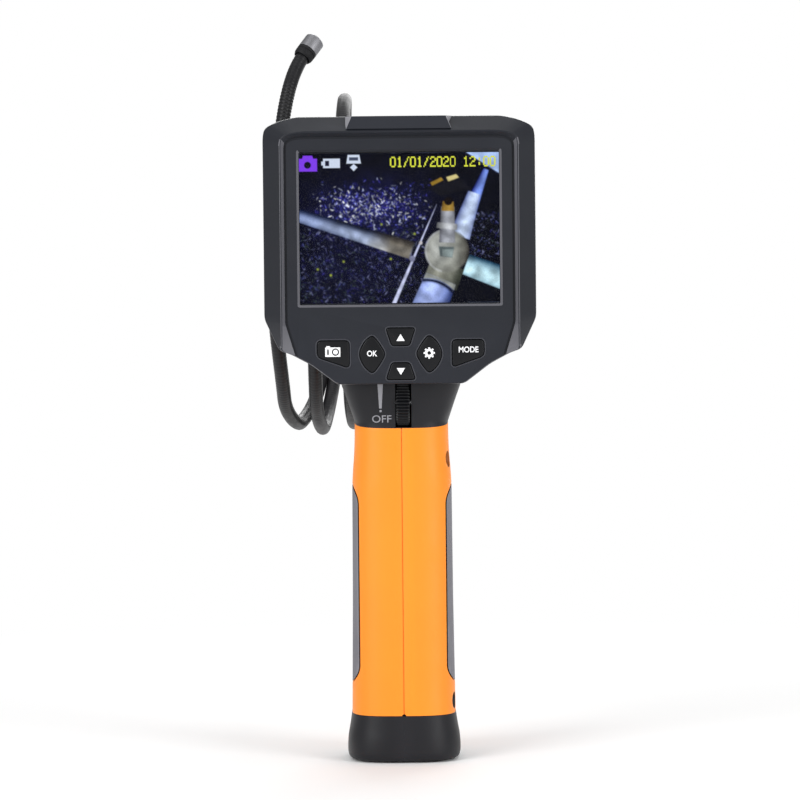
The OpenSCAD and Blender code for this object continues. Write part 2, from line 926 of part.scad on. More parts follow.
module probe_socket() {
    color("#1c1c1e")
        difference() {
            turned([[0, 27], [8, 27], [8, 33.4], [bore_r - 0.06, 33.4], [bore_r - 0.06, 39.6], [0, 39.6]]);
            pin_holes(0.5, 20, 45);
        }
}

module pin_holes(r, y0, y1) {
    for (i = [0:4])
        translate([0, 0, nose_z])
            rotate([0, 72 * i, 0])
                bar_y(0, 3.4, r, y0, y1);
}

module socket_pins() {
    color("#d8b24a")
        pin_holes(0.49, 25, 45.5);
}

module probe_plug() {
    color("#2a2a2d")
        difference() {
            turned([
                [0, nose_end + 0.4], [bore_r - 0.08, nose_end + 0.4], [bore_r - 0.08, flange_y],
                [thread_r - 0.4, flange_y], [thread_r - 0.4, flange_y + 1.8],
                [shaft_r, flange_y + 1.8], [shaft_r, collar_hi + 0.1], [0, collar_hi + 0.1]
            ]);
            pin_holes(0.56, 30, 46.5);
        }
}

module probe_collar() {
    color("#232327")
        difference() {
            turned([
                [thread_r + 0.08, nose_end + 0.7], [12.2, nose_end + 0.7], [12.9, nose_end + 1.6],
                [12.9, collar_hi - 1.6], [11.4, collar_hi], [shaft_r + 0.08, collar_hi],
                [shaft_r + 0.08, flange_y + 1.95], [thread_r + 0.08, flange_y + 1.95]
            ]);
            for (i = [0:23])
                translate([0, 0, nose_z])
                    rotate([0, 15 * i, 0])
                        bar_y(0, 13.5, 0.9, nose_end + 2.2, collar_hi - 2);
        }
}

module strain_relief() {
    color("#232327")
        difference() {
            turned([
                [0, collar_hi + 0.15], [8.2, collar_hi + 0.15], [8.2, collar_hi + 2.4],
                [6.2, collar_hi + 4], [3.9, relief_end], [0, relief_end]
            ]);
            bar_y(0, nose_z, cable_r + 0.05, relief_end - 4.1, relief_end + 1);
        }
}

module cable_coil() {
    color("#26262a")
        sweep(coil_path, cable_r, cable_sides);
}

module cable_tip() {
    color("#26262a") {
        sweep(tip_path, cable_r, cable_sides);
        translate(bend_point)
            sphere(r = cable_r, $fn = 32);
    }
}

module camera_housing() {
    color("#c9cacc")
        at_camera()
            difference() {
                rotate_extrude()
                    polygon([
                        [0, 4.6], [3.1, 4.6], [3.1, 3.9], [camera_r, 3.9], [camera_r, 8.9],
                        [camera_r - 0.7, 9.6], [0, 9.6]
                    ]);
                translate([0, 0, 8.6])
                    cylinder(r = 2.85, h = 3);
                translate([0, 0, 7.0])
                    cylinder(r = 1.25, h = 3);
                for (i = [0:5])
                    rotate(60 * i)
                        translate([2.05, 0, 7.8])
                            cylinder(r = 0.55, h = 2);
                translate([0, 0, 5.4])
                    cylinder(r = 2.6, h = 1);
            }
}

module camera_ring() {
    color("#17171a")
        at_camera()
            rotate_extrude()
                polygon([
                    [cable_r + 0.1, 0.6], [3.2, 0.2], [camera_r - 0.1, 1.1], [camera_r, 2.2],
                    [camera_r - 0.25, 2.35], [camera_r - 0.25, 2.75], [camera_r, 2.9],
                    [camera_r, 3.85], [3.05, 3.85], [3.05, 4.5], [0, 4.5], [0, 2.1], [cable_r + 0.1, 2.1]
                ]);
}

module camera_window() {
    color("#9fb4c4", 0.4)
        at_camera()
            translate([0, 0, 8.95])
                cylinder(r = 2.8, h = 0.6);
}

module camera_lens() {
    color("#203050")
        at_camera()
            translate([0, 0, 7.05])
                cylinder(r = 1.2, h = 1.5);
}

module camera_leds() {
    color("#f2efd8")
        at_camera()
            for (i = [0:5])
                rotate(60 * i)
                    translate([2.05, 0, 7.85])
                        cylinder(r = 0.5, h = 0.7);
}

module camera_board() {
    color("#1f6b3a")
        at_camera()
            translate([0, 0, 5.5])
                cylinder(r = 2.5, h = 0.8);
}

head_bezel();
head_seal();
screen_lens();
lcd_gasket();
lcd_panel();
backlight();
lcd_tray();
main_board();
board_chips();
key_switches();
board_screws();
key_camera();
key_ok();
key_up();
key_down();
key_settings();
key_mode();
body_left();
body_right();
body_screws();
bezel_screws();
cover_left();
cover_right();
grip_left();
grip_right();
thumbwheel();
wheel_axle();
dimmer_control();
battery_door();
door_hinge_pin();
battery_cradle();
battery_cells();
battery_springs();
battery_contacts();
wiring();
port_cover();
port_board();
usb_socket();
card_socket();
memory_card();
nose_ring();
probe_socket();
socket_pins();
probe_plug();
probe_collar();
strain_relief();
cable_coil();
cable_tip();
camera_housing();
camera_ring();
camera_window();
camera_lens();
camera_leds();
camera_board();
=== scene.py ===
"""Looks of the inspection camera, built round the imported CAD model."""

import json
import math

import bmesh
import bpy
import numpy as np
from mathutils import Matrix, Vector


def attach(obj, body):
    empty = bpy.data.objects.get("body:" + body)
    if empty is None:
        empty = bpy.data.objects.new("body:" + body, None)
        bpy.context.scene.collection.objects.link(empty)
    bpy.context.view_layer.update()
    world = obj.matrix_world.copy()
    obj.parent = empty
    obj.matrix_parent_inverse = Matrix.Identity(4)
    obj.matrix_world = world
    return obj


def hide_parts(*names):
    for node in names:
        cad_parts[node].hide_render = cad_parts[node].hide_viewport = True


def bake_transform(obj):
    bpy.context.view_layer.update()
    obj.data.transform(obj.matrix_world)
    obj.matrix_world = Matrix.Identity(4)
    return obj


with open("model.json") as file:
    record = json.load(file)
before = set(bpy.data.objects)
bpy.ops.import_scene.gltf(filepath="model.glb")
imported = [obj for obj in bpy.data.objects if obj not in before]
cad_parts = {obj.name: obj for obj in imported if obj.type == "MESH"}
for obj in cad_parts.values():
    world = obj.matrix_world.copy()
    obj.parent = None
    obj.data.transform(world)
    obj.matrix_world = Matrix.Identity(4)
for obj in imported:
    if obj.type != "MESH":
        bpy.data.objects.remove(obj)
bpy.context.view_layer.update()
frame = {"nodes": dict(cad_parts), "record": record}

MM = 0.001
rng = np.random.default_rng(7)

# ---- Sizes shared with the CAD model, in mm ----
PART_Y = -14.0
FRONT_Y = -30.0
BACK_Y = 8.0
PANEL_Y = -28.5
PANEL_BACK = -26.5
KEY_FACE = -29.0
LENS_Y = -27.65
LCD_Y = -25.75
PICTURE_W, PICTURE_H, PICTURE_Z = 70.1, 52.6, 188.95
SEAM = 0.008
COVER_T = 1.4
COVER_GAP = 0.05
COVER_LO, COVER_HI = 16.3, 119.9
COVER_DIP = 1.5
CORNER_N = 3.2
NOSE_Z = 185.0
CABLE_R = 2.6
WHEEL_R, WHEEL_W, WHEEL_X, WHEEL_Y, WHEEL_Z = 9.6, 4.8, 0.6, -10.7, 127.3

SILHOUETTE = [
    (36, 228.1), (41.2, 227), (45.5, 225.3), (47.3, 223.8), (47.8, 221), (47.8, 157.3),
    (42.6, 146.2), (38.5, 144.8), (31.4, 141), (22.3, 134.1),
]
CREST = [
    (34, 223), (37.4, 222.6), (40, 221.8), (41.3, 220.8), (41.9, 218.8), (41.9, 157.3),
    (41.9, 146.4), (38.4, 145.5), (31.1, 141.7), (22, 134.8),
]
RECESS = [
    (33.5, 221.2), (37, 220.9), (39.2, 220), (40.1, 219), (40.4, 217.5), (40.4, 155.8),
    (36.9, 144.4), (36.9, 130),
]
HOLLOW = [
    (34.5, 224), (38, 223.2), (41, 222), (43, 220.4), (43.6, 218.4), (43.6, 158.3),
    (39.2, 148.2), (37.6, 147), (30.6, 142.9), (21.6, 135.7),
]
BACK_HALF = [
    (34, 221.1), (36.6, 220.8), (38.8, 219.8), (40.2, 218.3), (40.8, 216.1), (40.8, 159),
    (37.2, 151.3), (34.5, 150.2), (28.2, 146.8), (20.3, 141.1),
]
CORNER_KEY = [(29.2, 149.6), (29.2, 144), (18.1, 140.1), (18.1, 149.6)]
ALMOND_KEY = [
    (9.9, 151.5), (12.6, 149.3), (14.1, 146.5), (14.4, 144.8), (14.1, 143.1), (12.6, 140.2),
    (9.9, 138), (7.4, 141.2), (5.4, 144.8), (7.4, 148.4),
]
UP_KEY = [(-5.05, 153.9), (5.05, 153.9), (3.1, 147.8), (-3.1, 147.8)]
DOWN_KEY = [(-3.1, 141.7), (3.1, 141.7), (5.05, 135.9), (-5.05, 135.9)]
COVER_W = [(16.2, 18.5), (57, 17.95), (99, 17.75), (110, 16.85), (120, 16.65)]
COVER_D = [(16.2, 19.8), (57, 19.2), (99, 18.8), (110, 17.8), (120, 17.2)]
# Height, half width, half depth, centre depth
FOOT_RINGS = [
    (0, 17.3, 18.6, 0), (0.4, 19.0, 20.3, 0), (1.2, 19.8, 21.1, 0), (3.4, 20.15, 21.45, 0),
    (7.6, 19.95, 21.25, 0), (12, 19.2, 20.5, 0), (16.2, 18.6, 19.9, 0),
]
NECK_RINGS = [
    (120, 16.65, 17.2, 0), (127.8, 19.3, 18.6, 0), (133.9, 21.4, 19.2, -0.6),
    (137, 21.4, 18.4, -0.6), (150, 18, 15, 0), (164, 13, 12, 2),
]
GRIP_SHAPE = [(15.75, 32), (15.75, 92.9), (21, 104.6), (21, 22.6)]
SHELL_SCREWS = [(-9.2, 20.7), (12, 20.7), (-9.2, 106.8), (12, 106.8)]
BOSS_R, RECESS_R, DISH_R = 2.3, 2.2, 3.0
DOOR_Y, DOOR_Z, LUG_X = -10.2, 1.9, 12.2
FRAME_SCREWS = [(41.2, 212), (41.2, 162)]
BROW_DROP = 4.4
SIDES = {-1: "left", 1: "right"}


# ---- Mesh helpers ----

def add_object(name, data):
    obj = bpy.data.objects.new(name, data)
    bpy.context.scene.collection.objects.link(obj)
    return obj


def solid(name, verts, faces):
    """Object from points in mm, with its normals outwards."""
    mesh = bpy.data.meshes.new(name)
    mesh.from_pydata([Vector(v) * MM for v in verts], [], faces)
    mesh.validate()
    bm = bmesh.new()
    bm.from_mesh(mesh)
    bmesh.ops.recalc_face_normals(bm, faces=bm.faces)
    bm.to_mesh(mesh)
    bm.free()
    return add_object(name, mesh)


def loft(name, rings, tyre=False):
    """Skin over rings of equal point count: with flat ends, or closed on itself like a tyre."""
    n, m = len(rings[0]), len(rings)
    faces = [
        (j * n + i, j * n + (i + 1) % n, (j + 1) % m * n + (i + 1) % n, (j + 1) % m * n + i)
        for j in range(m if tyre else m - 1) for i in range(n)
    ]
    if not tyre:
        faces += [tuple(range(n)), tuple((m - 1) * n + i for i in reversed(range(n)))]
    return solid(name, [p for ring in rings for p in ring], faces)


def at_depth(outline, y):
    return [(x, y, z) for x, z in outline]


def both(half):
    return list(half) + [(-x, z) for x, z in reversed(half)]


def flipped(outline):
    return [(-x, z) for x, z in reversed(outline)]


def inset(pts, d):
    """Clockwise outline moved inwards by d."""
    out = []
    n = len(pts)
    for i in range(n):
        a, b, c = (Vector(pts[(i + k) % n]) for k in (-1, 0, 1))
        first, second = (Vector((way.y, -way.x)) for way in ((b - a).normalized(), (c - b).normalized()))
        out.append(tuple(b + d * (first + second) / (1 + first.dot(second))))
    return out


def rounded(pts, radius, steps=5):
    """Outline with each corner replaced by a short curve; the point count depends only on the input."""
    out = []
    n = len(pts)
    for i in range(n):
        a, b, c = (Vector(pts[(i + k) % n]) for k in (-1, 0, 1))
        ra = min(radius, 0.48 * (a - b).length)
        rc = min(radius, 0.48 * (c - b).length)
        p, q = b + (a - b).normalized() * ra, b + (c - b).normalized() * rc
        for k in range(steps + 1):
            u = k / steps
            out.append(tuple((1 - u) ** 2 * p + 2 * u * (1 - u) * b + u * u * q))
    return out


def plate(name, outline, y0, y1):
    """Flat plate between two depths."""
    return loft(name, [at_depth(outline, y1), at_depth(outline, y0)])


def box(x, y, z):
    return loft("box", [[(x[0], y[0], h), (x[1], y[0], h), (x[1], y[1], h), (x[0], y[1], h)] for h in z])


def circle_points(r, steps):
    """Points (r cos, r sin) at equal steps round a circle."""
    turns = [2 * math.pi * k / steps for k in range(steps)]
    return [(r * math.cos(a), r * math.sin(a)) for a in turns]


def rod(axis, centre, r, a, b, sides=32):
    """Round bar along axis "X", "Y" or "Z" from a to b; centre gives the other two places."""
    rings = []
    for t in (a, b):
        places = [(centre[0] + c, centre[1] + s) for c, s in circle_points(r, sides)]
        rings.append([{"X": (t, u, v), "Y": (u, t, v), "Z": (u, v, t)}[axis] for u, v in places])
    return loft("rod", rings)


def turned(name, profile, sides=128):
    """Solid turned about the nose axis from (radius, depth) points, with flat ends."""
    return loft(name, [[(c, y, NOSE_Z + s) for c, s in circle_points(r, sides)] for r, y in profile])


def join(objs):
    """One object holding every mesh of objs."""
    bm = bmesh.new()
    for o in objs:
        bm.from_mesh(o.data)
    bm.to_mesh(objs[0].data)
    bm.free()
    for o in objs[1:]:
        bpy.data.objects.remove(o)
    return objs[0]


def evaluated_mesh(obj):
    """The object's mesh with its modifiers applied, or the mesh of its letters."""
    graph = bpy.context.evaluated_depsgraph_get()
    return bpy.data.meshes.new_from_object(obj.evaluated_get(graph))


def apply_modifiers(obj):
    mesh = evaluated_mesh(obj)
    obj.modifiers.clear()
    obj.data = mesh


def boolean(obj, others, operation="DIFFERENCE"):
    """Cuts, adds or intersects obj with the others, which are used up."""
    for other in others:
        mod = obj.modifiers.new("cut", "BOOLEAN")
        mod.operation = operation
        mod.solver = "EXACT"
        mod.object = other
        apply_modifiers(obj)
        bpy.data.objects.remove(other)
    return obj


def smooth(obj, angle=32):
    """Smooth shading that keeps edges over the angle sharp."""
    for poly in obj.data.polygons:
        poly.use_smooth = True
    obj.data.set_sharp_from_angle(angle=math.radians(angle))
    return obj


def add_bevel(obj, width, angle, segments=2):
    mod = obj.modifiers.new("edge", "BEVEL")
    mod.width = width * MM
    mod.segments = segments
    mod.limit_method = "ANGLE"
    mod.angle_limit = math.radians(angle)


def ease(points, z):
    """Linear value at z from (z, value) points."""
    return float(np.interp(z, [p[0] for p in points], [p[1] for p in points]))


def spline(rows, steps):
    """Rows made denser by a Catmull-Rom curve through them."""
    out = []
    for i in range(len(rows) - 1):
        p = [np.array(rows[min(max(i + k, 0), len(rows) - 1)], float) for k in (-1, 0, 1, 2)]
        for k in range(steps):
            u = k / steps
            out.append(0.5 * (2 * p[1] + (p[2] - p[0]) * u + (2 * p[0] - 5 * p[1] + 4 * p[2] - p[3]) * u * u
                              + (3 * p[1] - p[0] - 3 * p[2] + p[3]) * u ** 3))
    return out + [np.array(rows[-1], float)]


def half_ring(hw, hd, z, x0, cy=0.0, steps=44):
    """Right half of a ring like a rounded square at height z, with its two ends at x0."""
    ring = []
    for i in range(steps + 1):
        a = math.pi * i / steps - math.pi / 2
        x = x0 if i in (0, steps) else max(hw * math.cos(a) ** (2 / CORNER_N), x0 + 0.001)
        s = math.sin(a)
        ring.append((x, cy + hd * math.copysign(abs(s) ** (2 / CORNER_N), s), z))
    return ring


def on_side(obj, side):
    """A piece made for the right, turned into its mirror image for the left (side below 0)."""
    if side < 0:
        obj.data.transform(Matrix.Diagonal((-1, 1, 1, 1)))
        obj.data.flip_normals()
    return obj


# ---- Materials ----

class Nodes:
    """Short hand for building a node tree."""

    def __init__(self, name):
        self.mat = bpy.data.materials.new(name)
        self.mat.use_nodes = True
        self.tree = self.mat.node_tree
        self.bsdf = self.tree.nodes["Principled BSDF"]
        self.out = self.tree.nodes["Material Output"]
        self.coord = self.add("ShaderNodeTexCoord").outputs["Object"]

    def add(self, kind, **inputs):
        node = self.tree.nodes.new(kind)
        for key, value in inputs.items():
            self.put(value, node.inputs[key.replace("_", " ")])
        return node

    def put(self, value, socket):
        if isinstance(value, bpy.types.NodeSocket):
            self.tree.links.new(value, socket)
        else:
            socket.default_value = value

    def noise(self, scale, detail=4.0, roughness=0.6, vector=None):
        return self.add("ShaderNodeTexNoise", Vector=vector or self.coord, Scale=scale, Detail=detail,
                        Roughness=roughness).outputs["Fac"]

    def ramp(self, fac, low, high, to_low, to_high):
        node = self.add("ShaderNodeMapRange", Value=fac)
        for key, v in (("From Min", low), ("From Max", high), ("To Min", to_low), ("To Max", to_high)):
            node.inputs[key].default_value = v
        return node.outputs["Result"]

    def mix(self, fac, a, b, mode="MIX"):
        node = self.add("ShaderNodeMix")
        node.data_type = "RGBA"
        node.blend_type = mode
        self.put(fac, node.inputs["Factor"])
        for k, v in ((6, a), (7, b)):
            self.put(v if isinstance(v, bpy.types.NodeSocket) else (*v[:3], 1), node.inputs[k])
        return node.outputs[2]

    def bump(self, height, strength, distance):
        """Surface normal bumped by height, with the distance in mm."""
        node = self.add("ShaderNodeBump", Height=height, Strength=strength, Distance=distance * MM)
        return node.outputs["Normal"]

    def compute(self, operation, a, b):
        node = self.tree.nodes.new("ShaderNodeMath")
        node.operation = operation
        self.put(a, node.inputs[0])
        self.put(b, node.inputs[1])
        return node.outputs[0]

    def stretched(self, scale):
        return self.add("ShaderNodeMapping", Vector=self.coord, Scale=scale).outputs["Vector"]

    def blend_out(self, fac, first, second):
        """Ends the tree in a blend of two shader nodes."""
        mixed = self.add("ShaderNodeMixShader")
        for k, value in enumerate((fac, first.outputs[0], second.outputs[0])):
            self.put(value, mixed.inputs[k])
        self.put(mixed.outputs[0], self.out.inputs["Surface"])

    def set(self, **inputs):
        for key, value in inputs.items():
            self.put(value, self.bsdf.inputs[key.replace("_", " ")])
        return self.mat


def srgb(text):
    """Linear colour from a hex string."""
    c = [int(text[i:i + 2], 16) / 255 for i in (0, 2, 4)]
    return [v / 12.92 if v <= 0.04045 else ((v + 0.055) / 1.055) ** 2.4 for v in c]


def scaled(color, k):
    return [min(1.0, v * k) for v in color[:3]]


def moulded(name, text, rough, grain, depth, spread, worn, specular):
    """Moulded plastic or rubber: fine texture, uneven sheen, slight colour drift and paler edges, partly wear
    and partly painted highlight.
    """
    n = Nodes(name)
    color = srgb(text)
    drift = n.ramp(n.noise(28.0, 3.0), 0.35, 0.65, 0.0, 1.0)
    fine = n.noise(grain, 6.0, 0.7)
    base = n.mix(drift, scaled(color, 1 - spread), scaled(color, 1 + spread))
    base = n.mix(n.ramp(fine, 0.3, 0.7, 0.0, 0.35), base, scaled(color, 1 + 0.6 * spread))
    # Paler edges by pointiness: partly wear, partly a painted highlight where edges catch the light
    edge = n.ramp(n.add("ShaderNodeNewGeometry").outputs["Pointiness"], 0.52, 0.6, 0.0, 0.5)
    base = n.mix(edge, base, scaled(color, worn))
    coarse = n.bump(n.noise(grain * 0.22, 2.0), 0.4, depth * 1.6)
    normal = n.bump(fine, 0.5, depth)
    n.put(coarse, normal.node.inputs["Normal"])
    roughness = n.ramp(n.noise(75.0, 5.0), 0.3, 0.7, rough - 0.06, rough + 0.07)
    return n.set(Base_Color=base, Roughness=roughness, Normal=normal, Specular_IOR_Level=specular)


def metal(name, text, rough, stretch, scale, depth):
    """Brushed or turned metal: streaks along one way, with uneven polish."""
    n = Nodes(name)
    color = srgb(text)
    streaks = n.noise(scale, 3.0, 0.6, n.stretched(stretch))
    smudge = n.noise(60.0, 4.0)
    base = n.mix(n.ramp(streaks, 0.3, 0.7, 0.0, 1.0), scaled(color, 0.86), scaled(color, 1.06))
    base = n.mix(n.ramp(smudge, 0.45, 0.75, 0.0, 0.25), base, scaled(color, 0.7))
    roughness = n.ramp(smudge, 0.3, 0.7, rough - 0.07, rough + 0.1)
    return n.set(Base_Color=base, Metallic=1.0, Roughness=roughness, Normal=n.bump(streaks, 0.5, depth))


def board_material():
    """Green circuit board with copper tracks under the lacquer."""
    n = Nodes("circuit_board")
    cells = n.add("ShaderNodeTexBrick", Vector=n.stretched((1, 1, 3)), Scale=210.0, Mortar_Size=0.05,
                  Color1=(0.01, 0.10, 0.03, 1), Color2=(0.015, 0.15, 0.045, 1), Mortar=(0.05, 0.26, 0.08, 1))
    speck = n.ramp(n.noise(500.0), 0.66, 0.7, 0.0, 1.0)
    base = n.mix(speck, cells.outputs["Color"], (0.55, 0.56, 0.5))
    return n.set(Base_Color=base, Roughness=n.ramp(n.noise(90.0), 0.3, 0.7, 0.25, 0.42),
                 Normal=n.bump(cells.outputs["Fac"], 0.3, 0.03))


def window_material():
    """Clear window: shows what is behind it, with a soft edge reflection and fine dust."""
    n = Nodes("clear_window")
    clear = n.add("ShaderNodeBsdfTransparent", Color=(0.97, 0.98, 1.0, 1))
    shine = n.add("ShaderNodeBsdfGlossy", Roughness=n.ramp(n.noise(200.0), 0.3, 0.7, 0.04, 0.12))
    fresnel = n.add("ShaderNodeFresnel", IOR=1.35).outputs["Fac"]
    n.blend_out(n.compute("MULTIPLY", fresnel, 0.15), clear, shine)
    return n.mat


def picture_material():
    """Lit display: the colours held by the mesh, with the faint grid of its pixels."""
    n = Nodes("display_picture")
    color = n.add("ShaderNodeVertexColor")
    color.layer_name = "picture"
    grid = n.ramp(n.noise(2600.0, 0.0), 0.2, 0.8, 0.93, 1.05)
    glow = n.mix(1.0, color.outputs["Color"], grid, "MULTIPLY")
    return n.set(Base_Color=(0.002, 0.002, 0.003, 1), Roughness=0.3, Specular_IOR_Level=0.05,
                 Emission_Color=glow, Emission_Strength=1.0)


def wrap_material():
    """Printed battery wrap with a band round each end."""
    n = Nodes("cell_wrap")
    z = n.add("ShaderNodeSeparateXYZ", Vector=n.coord).outputs["Z"]
    band = n.ramp(n.compute("PINGPONG", z, 0.0253), 0.008, 0.0083, 0.0, 1.0)
    base = n.mix(band, (0.02, 0.02, 0.022), (0.75, 0.5, 0.05))
    base = n.mix(n.ramp(n.noise(60.0), 0.4, 0.7, 0, 0.3), base, (0.9, 0.75, 0.3))
    return n.set(Base_Color=base, Metallic=0.6, Roughness=n.ramp(n.noise(120.0), 0.3, 0.7, 0.25, 0.4))


def cable_material():
    """Flexible cable skin: dark satin ribs, with a painted highlight making the tops of the ribs paler."""
    n = Nodes("cable_skin")
    # Painted highlight: the rib tops, found by pointiness, are coloured paler
    top = n.ramp(n.add("ShaderNodeNewGeometry").outputs["Pointiness"], 0.5, 0.54, 0.0, 1.0)
    base = n.mix(top, srgb("070708"), srgb("1c1c1f"))
    base = n.mix(n.ramp(n.noise(40.0), 0.4, 0.7, 0.0, 0.3), base, srgb("111114"))
    roughness = n.ramp(n.noise(300.0), 0.3, 0.7, 0.34, 0.5)
    normal = n.bump(n.noise(1500.0, 4.0), 0.5, 0.012)
    return n.set(Base_Color=base, Specular_IOR_Level=0.28, Roughness=roughness, Normal=normal)


# Colour, roughness, grain scale, bump depth in mm, colour spread, brightness of the paler edges (wear and
# painted highlight), specular level
MOULDED = {
    "bezel_plastic": ("212329", 0.38, 1400, 0.016, 0.07, 1.6, 0.24),
    # Paler grey for painted highlights on the bezel's facets
    "painted_highlight_grey": ("5c5c62", 0.45, 1400, 0.012, 0.04, 1.2, 0.3),
    "rim_plastic": ("34353b", 0.4, 1400, 0.012, 0.06, 1.5, 0.3),
    "shell_plastic": ("1b1b1f", 0.46, 900, 0.03, 0.08, 1.6, 0.26),
    "cover_plastic": ("ff8f12", 0.5, 1100, 0.022, 0.025, 1.06, 0.5),
    # Darker orange for painted shade inside the upper screw recesses
    "cover_painted_shade": ("9c5208", 0.6, 1100, 0.022, 0.05, 1.06, 0.5),
    "grip_rubber": ("77767c", 0.75, 700, 0.06, 0.1, 1.3, 0.3),
    "key_plastic": ("0e0f12", 0.36, 1300, 0.012, 0.1, 2.0, 0.25),
    "black_rubber": ("121215", 0.6, 800, 0.04, 0.12, 1.5, 0.28),
    "icon_white": ("f2f3f5", 0.5, 900, 0.01, 0.02, 1.0, 0.5),
    # Grey of the printed marks, also used for a painted highlight on the bezel's top block
    "print_and_highlight_grey": ("8f8f95", 0.5, 900, 0.01, 0.04, 1.0, 0.5),
    "white_plastic": ("e6e9ee", 0.4, 700, 0.02, 0.03, 1.0, 0.5),
    "chip_black": ("202022", 0.55, 1200, 0.03, 0.15, 1.4, 0.5),
    "wire_cover": ("a02a22", 0.4, 900, 0.02, 0.08, 1.2, 0.5),
    "blue_plastic": ("285a9c", 0.38, 900, 0.02, 0.06, 1.2, 0.5),
    "led_cap": ("f3efd2", 0.2, 900, 0.01, 0.03, 1.0, 0.5),
    "display_glass": ("0c0f18", 0.16, 300, 0.002, 0.2, 1.0, 0.5),
}
# Colour, roughness, stretch and scale of the streaks, bump depth in mm
METALS = {
    "sheet_steel": ("b9bcc0", 0.34, (12, 1, 1), 420, 0.01),
    "screw_steel": ("a8aaae", 0.3, (1, 1, 1), 700, 0.01),
    "nickel": ("c9cbcd", 0.26, (1, 1, 6), 420, 0.01),
    "gold_contact": ("d9b04a", 0.24, (1, 8, 1), 420, 0.01),
    "ring_metal": ("8f9195", 0.35, (1, 18, 1), 300, 0.01),
    "collar_metal": ("4a4a50", 0.38, (1, 14, 1), 380, 0.02),
    "head_steel": ("8f8f93", 0.5, (3, 3, 3), 500, 0.01),
}
MATERIALS = {
    "board_green": board_material(), "clear_window": window_material(), "cell_wrap": wrap_material(),
    "cable_rubber": cable_material(), "picture": picture_material(),
}
MATERIALS.update({name: moulded(name, *row) for name, row in MOULDED.items()})
MATERIALS.update({name: metal(name, *row) for name, row in METALS.items()})


def piece(obj, name, material, body="handset", node=None):
    """Names a finished mesh, gives it its material, ties it to its body and hides the CAD node it replaces.
    """
    obj.name = name
    obj.data.name = name
    obj.data.materials.clear()
    obj.data.materials.append(MATERIALS[material])
    if body:
        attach(obj, body)
    if (node or name) in frame["nodes"]:
        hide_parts(node or name)
    return obj


# ---- Display head ----

def rect(w, h, cz):
    return [(-w / 2, cz + h / 2), (w / 2, cz + h / 2), (w / 2, cz - h / 2), (-w / 2, cz - h / 2)]


# Outline seen from the front, rounding of its corners, place of its plunger
KEYS = {
    "camera": (flipped(CORNER_KEY), 1.6, (-23.7, 145.6)),
    "ok": (flipped(ALMOND_KEY), 1.4, (-10, 144.8)),
    "up": (UP_KEY, 1.1, (0, 150.8)),
    "down": (DOWN_KEY, 1.1, (0, 138.9)),
    "settings": (ALMOND_KEY, 1.4, (10, 144.8)),
    "mode": (CORNER_KEY, 1.6, (23.7, 145.6)),
}


def key_shape(key):
    outline, corner, _ = KEYS[key]
    return rounded(outline, corner, 6)


def wheel_slot(z_hi=134.0, y0=-30.0):
    """Slot the thumbwheel stands in, up to height z_hi and forward to depth y0."""
    return box((WHEEL_X - WHEEL_W / 2 - 0.3, WHEEL_X + WHEEL_W / 2 + 0.6), (y0, WHEEL_Y), (118.4, z_hi))


def wheel_room():
    """Room for the wheel's upper part, closed to the front."""
    return wheel_slot(137.4, WHEEL_Y - WHEEL_R + 1.9)


def bezel_body():
    """Frame with its outer wall, the bevel up to its crest and the raised block on its top."""
    sil, crest = rounded(both(SILHOUETTE), 1.6, 4), rounded(both(CREST), 1.6, 4)
    stages = [
        (sil, 0.25, PART_Y - 0.4), (sil, 0, PART_Y - 0.7), (sil, 0, FRONT_Y + 6.1),
        (sil, 0.12, FRONT_Y + 5.4), (sil, 0.5, FRONT_Y + 5.0), (crest, -0.25, FRONT_Y + 0.35),
        (crest, 0, FRONT_Y + 0.08), (crest, 0.2, FRONT_Y),
    ]
    body = loft("head_bezel", [at_depth(inset(outline, d), y) for outline, d, y in stages])
    top = SILHOUETTE[0][1]
    low = top - BROW_DROP
    brow = loft("brow", [
        at_depth([(-upper, top), (upper, top), (lower, low), (-lower, low)], y)
        for upper, lower, y in ((16.4, 18.3, FRONT_Y + 0.1), (19.3, 19.1, FRONT_Y + 7))
    ])
    return boolean(body, [brow], "UNION")


def recess_cutters():
    """Well down to the panel, and the fine groove round the panel."""
    rim = [(x + (0.95 if x > 39 else 0.6), z + 1.2) if z > 200 else (x + 0.95, z) for x, z in RECESS[:6]]
    rim = rounded(both(rim + [(41.4, 145.6), (41.4, 130)]), 1.2, 4)
    panel = rounded(both(RECESS), 1.2, 4)
    island = rounded(inset(both(RECESS), 0.85), 1.0, 4)
    well = loft("recess", [at_depth(rim, FRONT_Y - 0.5), at_depth(rim, FRONT_Y), at_depth(panel, PANEL_Y)])
    groove = loft("groove", [at_depth(panel, PANEL_Y - 0.4), at_depth(panel, PANEL_Y + 0.55)])
    kept = loft("island", [at_depth(island, PANEL_Y - 1), at_depth(island, PANEL_Y + 1)])
    return [well, boolean(groove, [kept])]


def frame_hollow():
    """Room behind the panel, with the posts for the frame screws left standing."""
    hollow = plate("hollow", rounded(both(HOLLOW), 1.0, 3), PANEL_BACK, PART_Y)
    posts = [rod("Y", (s * x, z), 2.3, PANEL_BACK - 1, PART_Y + 1) for x, z in FRAME_SCREWS for s in (-1, 1)]
    return boolean(hollow, posts)


def window_cutters():
    """Chamfered window over the picture, and the seat of the clear window behind it."""
    window = rect(PICTURE_W + 0.2, PICTURE_H + 0.9, PICTURE_Z)
    stages = [
        (0.85, 0.9, PANEL_Y - 0.5), (0.8, 0.9, PANEL_Y), (0, 0.5, PANEL_Y + 0.75), (0, 0.5, PANEL_BACK + 1),
    ]
    opening = loft("window", [at_depth(rounded(inset(window, -d), r, 4), y) for d, r, y in stages])
    return [opening, plate("lens_seat", rect(74.4, 57.4, PICTURE_Z), LENS_Y - 0.05, PANEL_BACK + 1)]


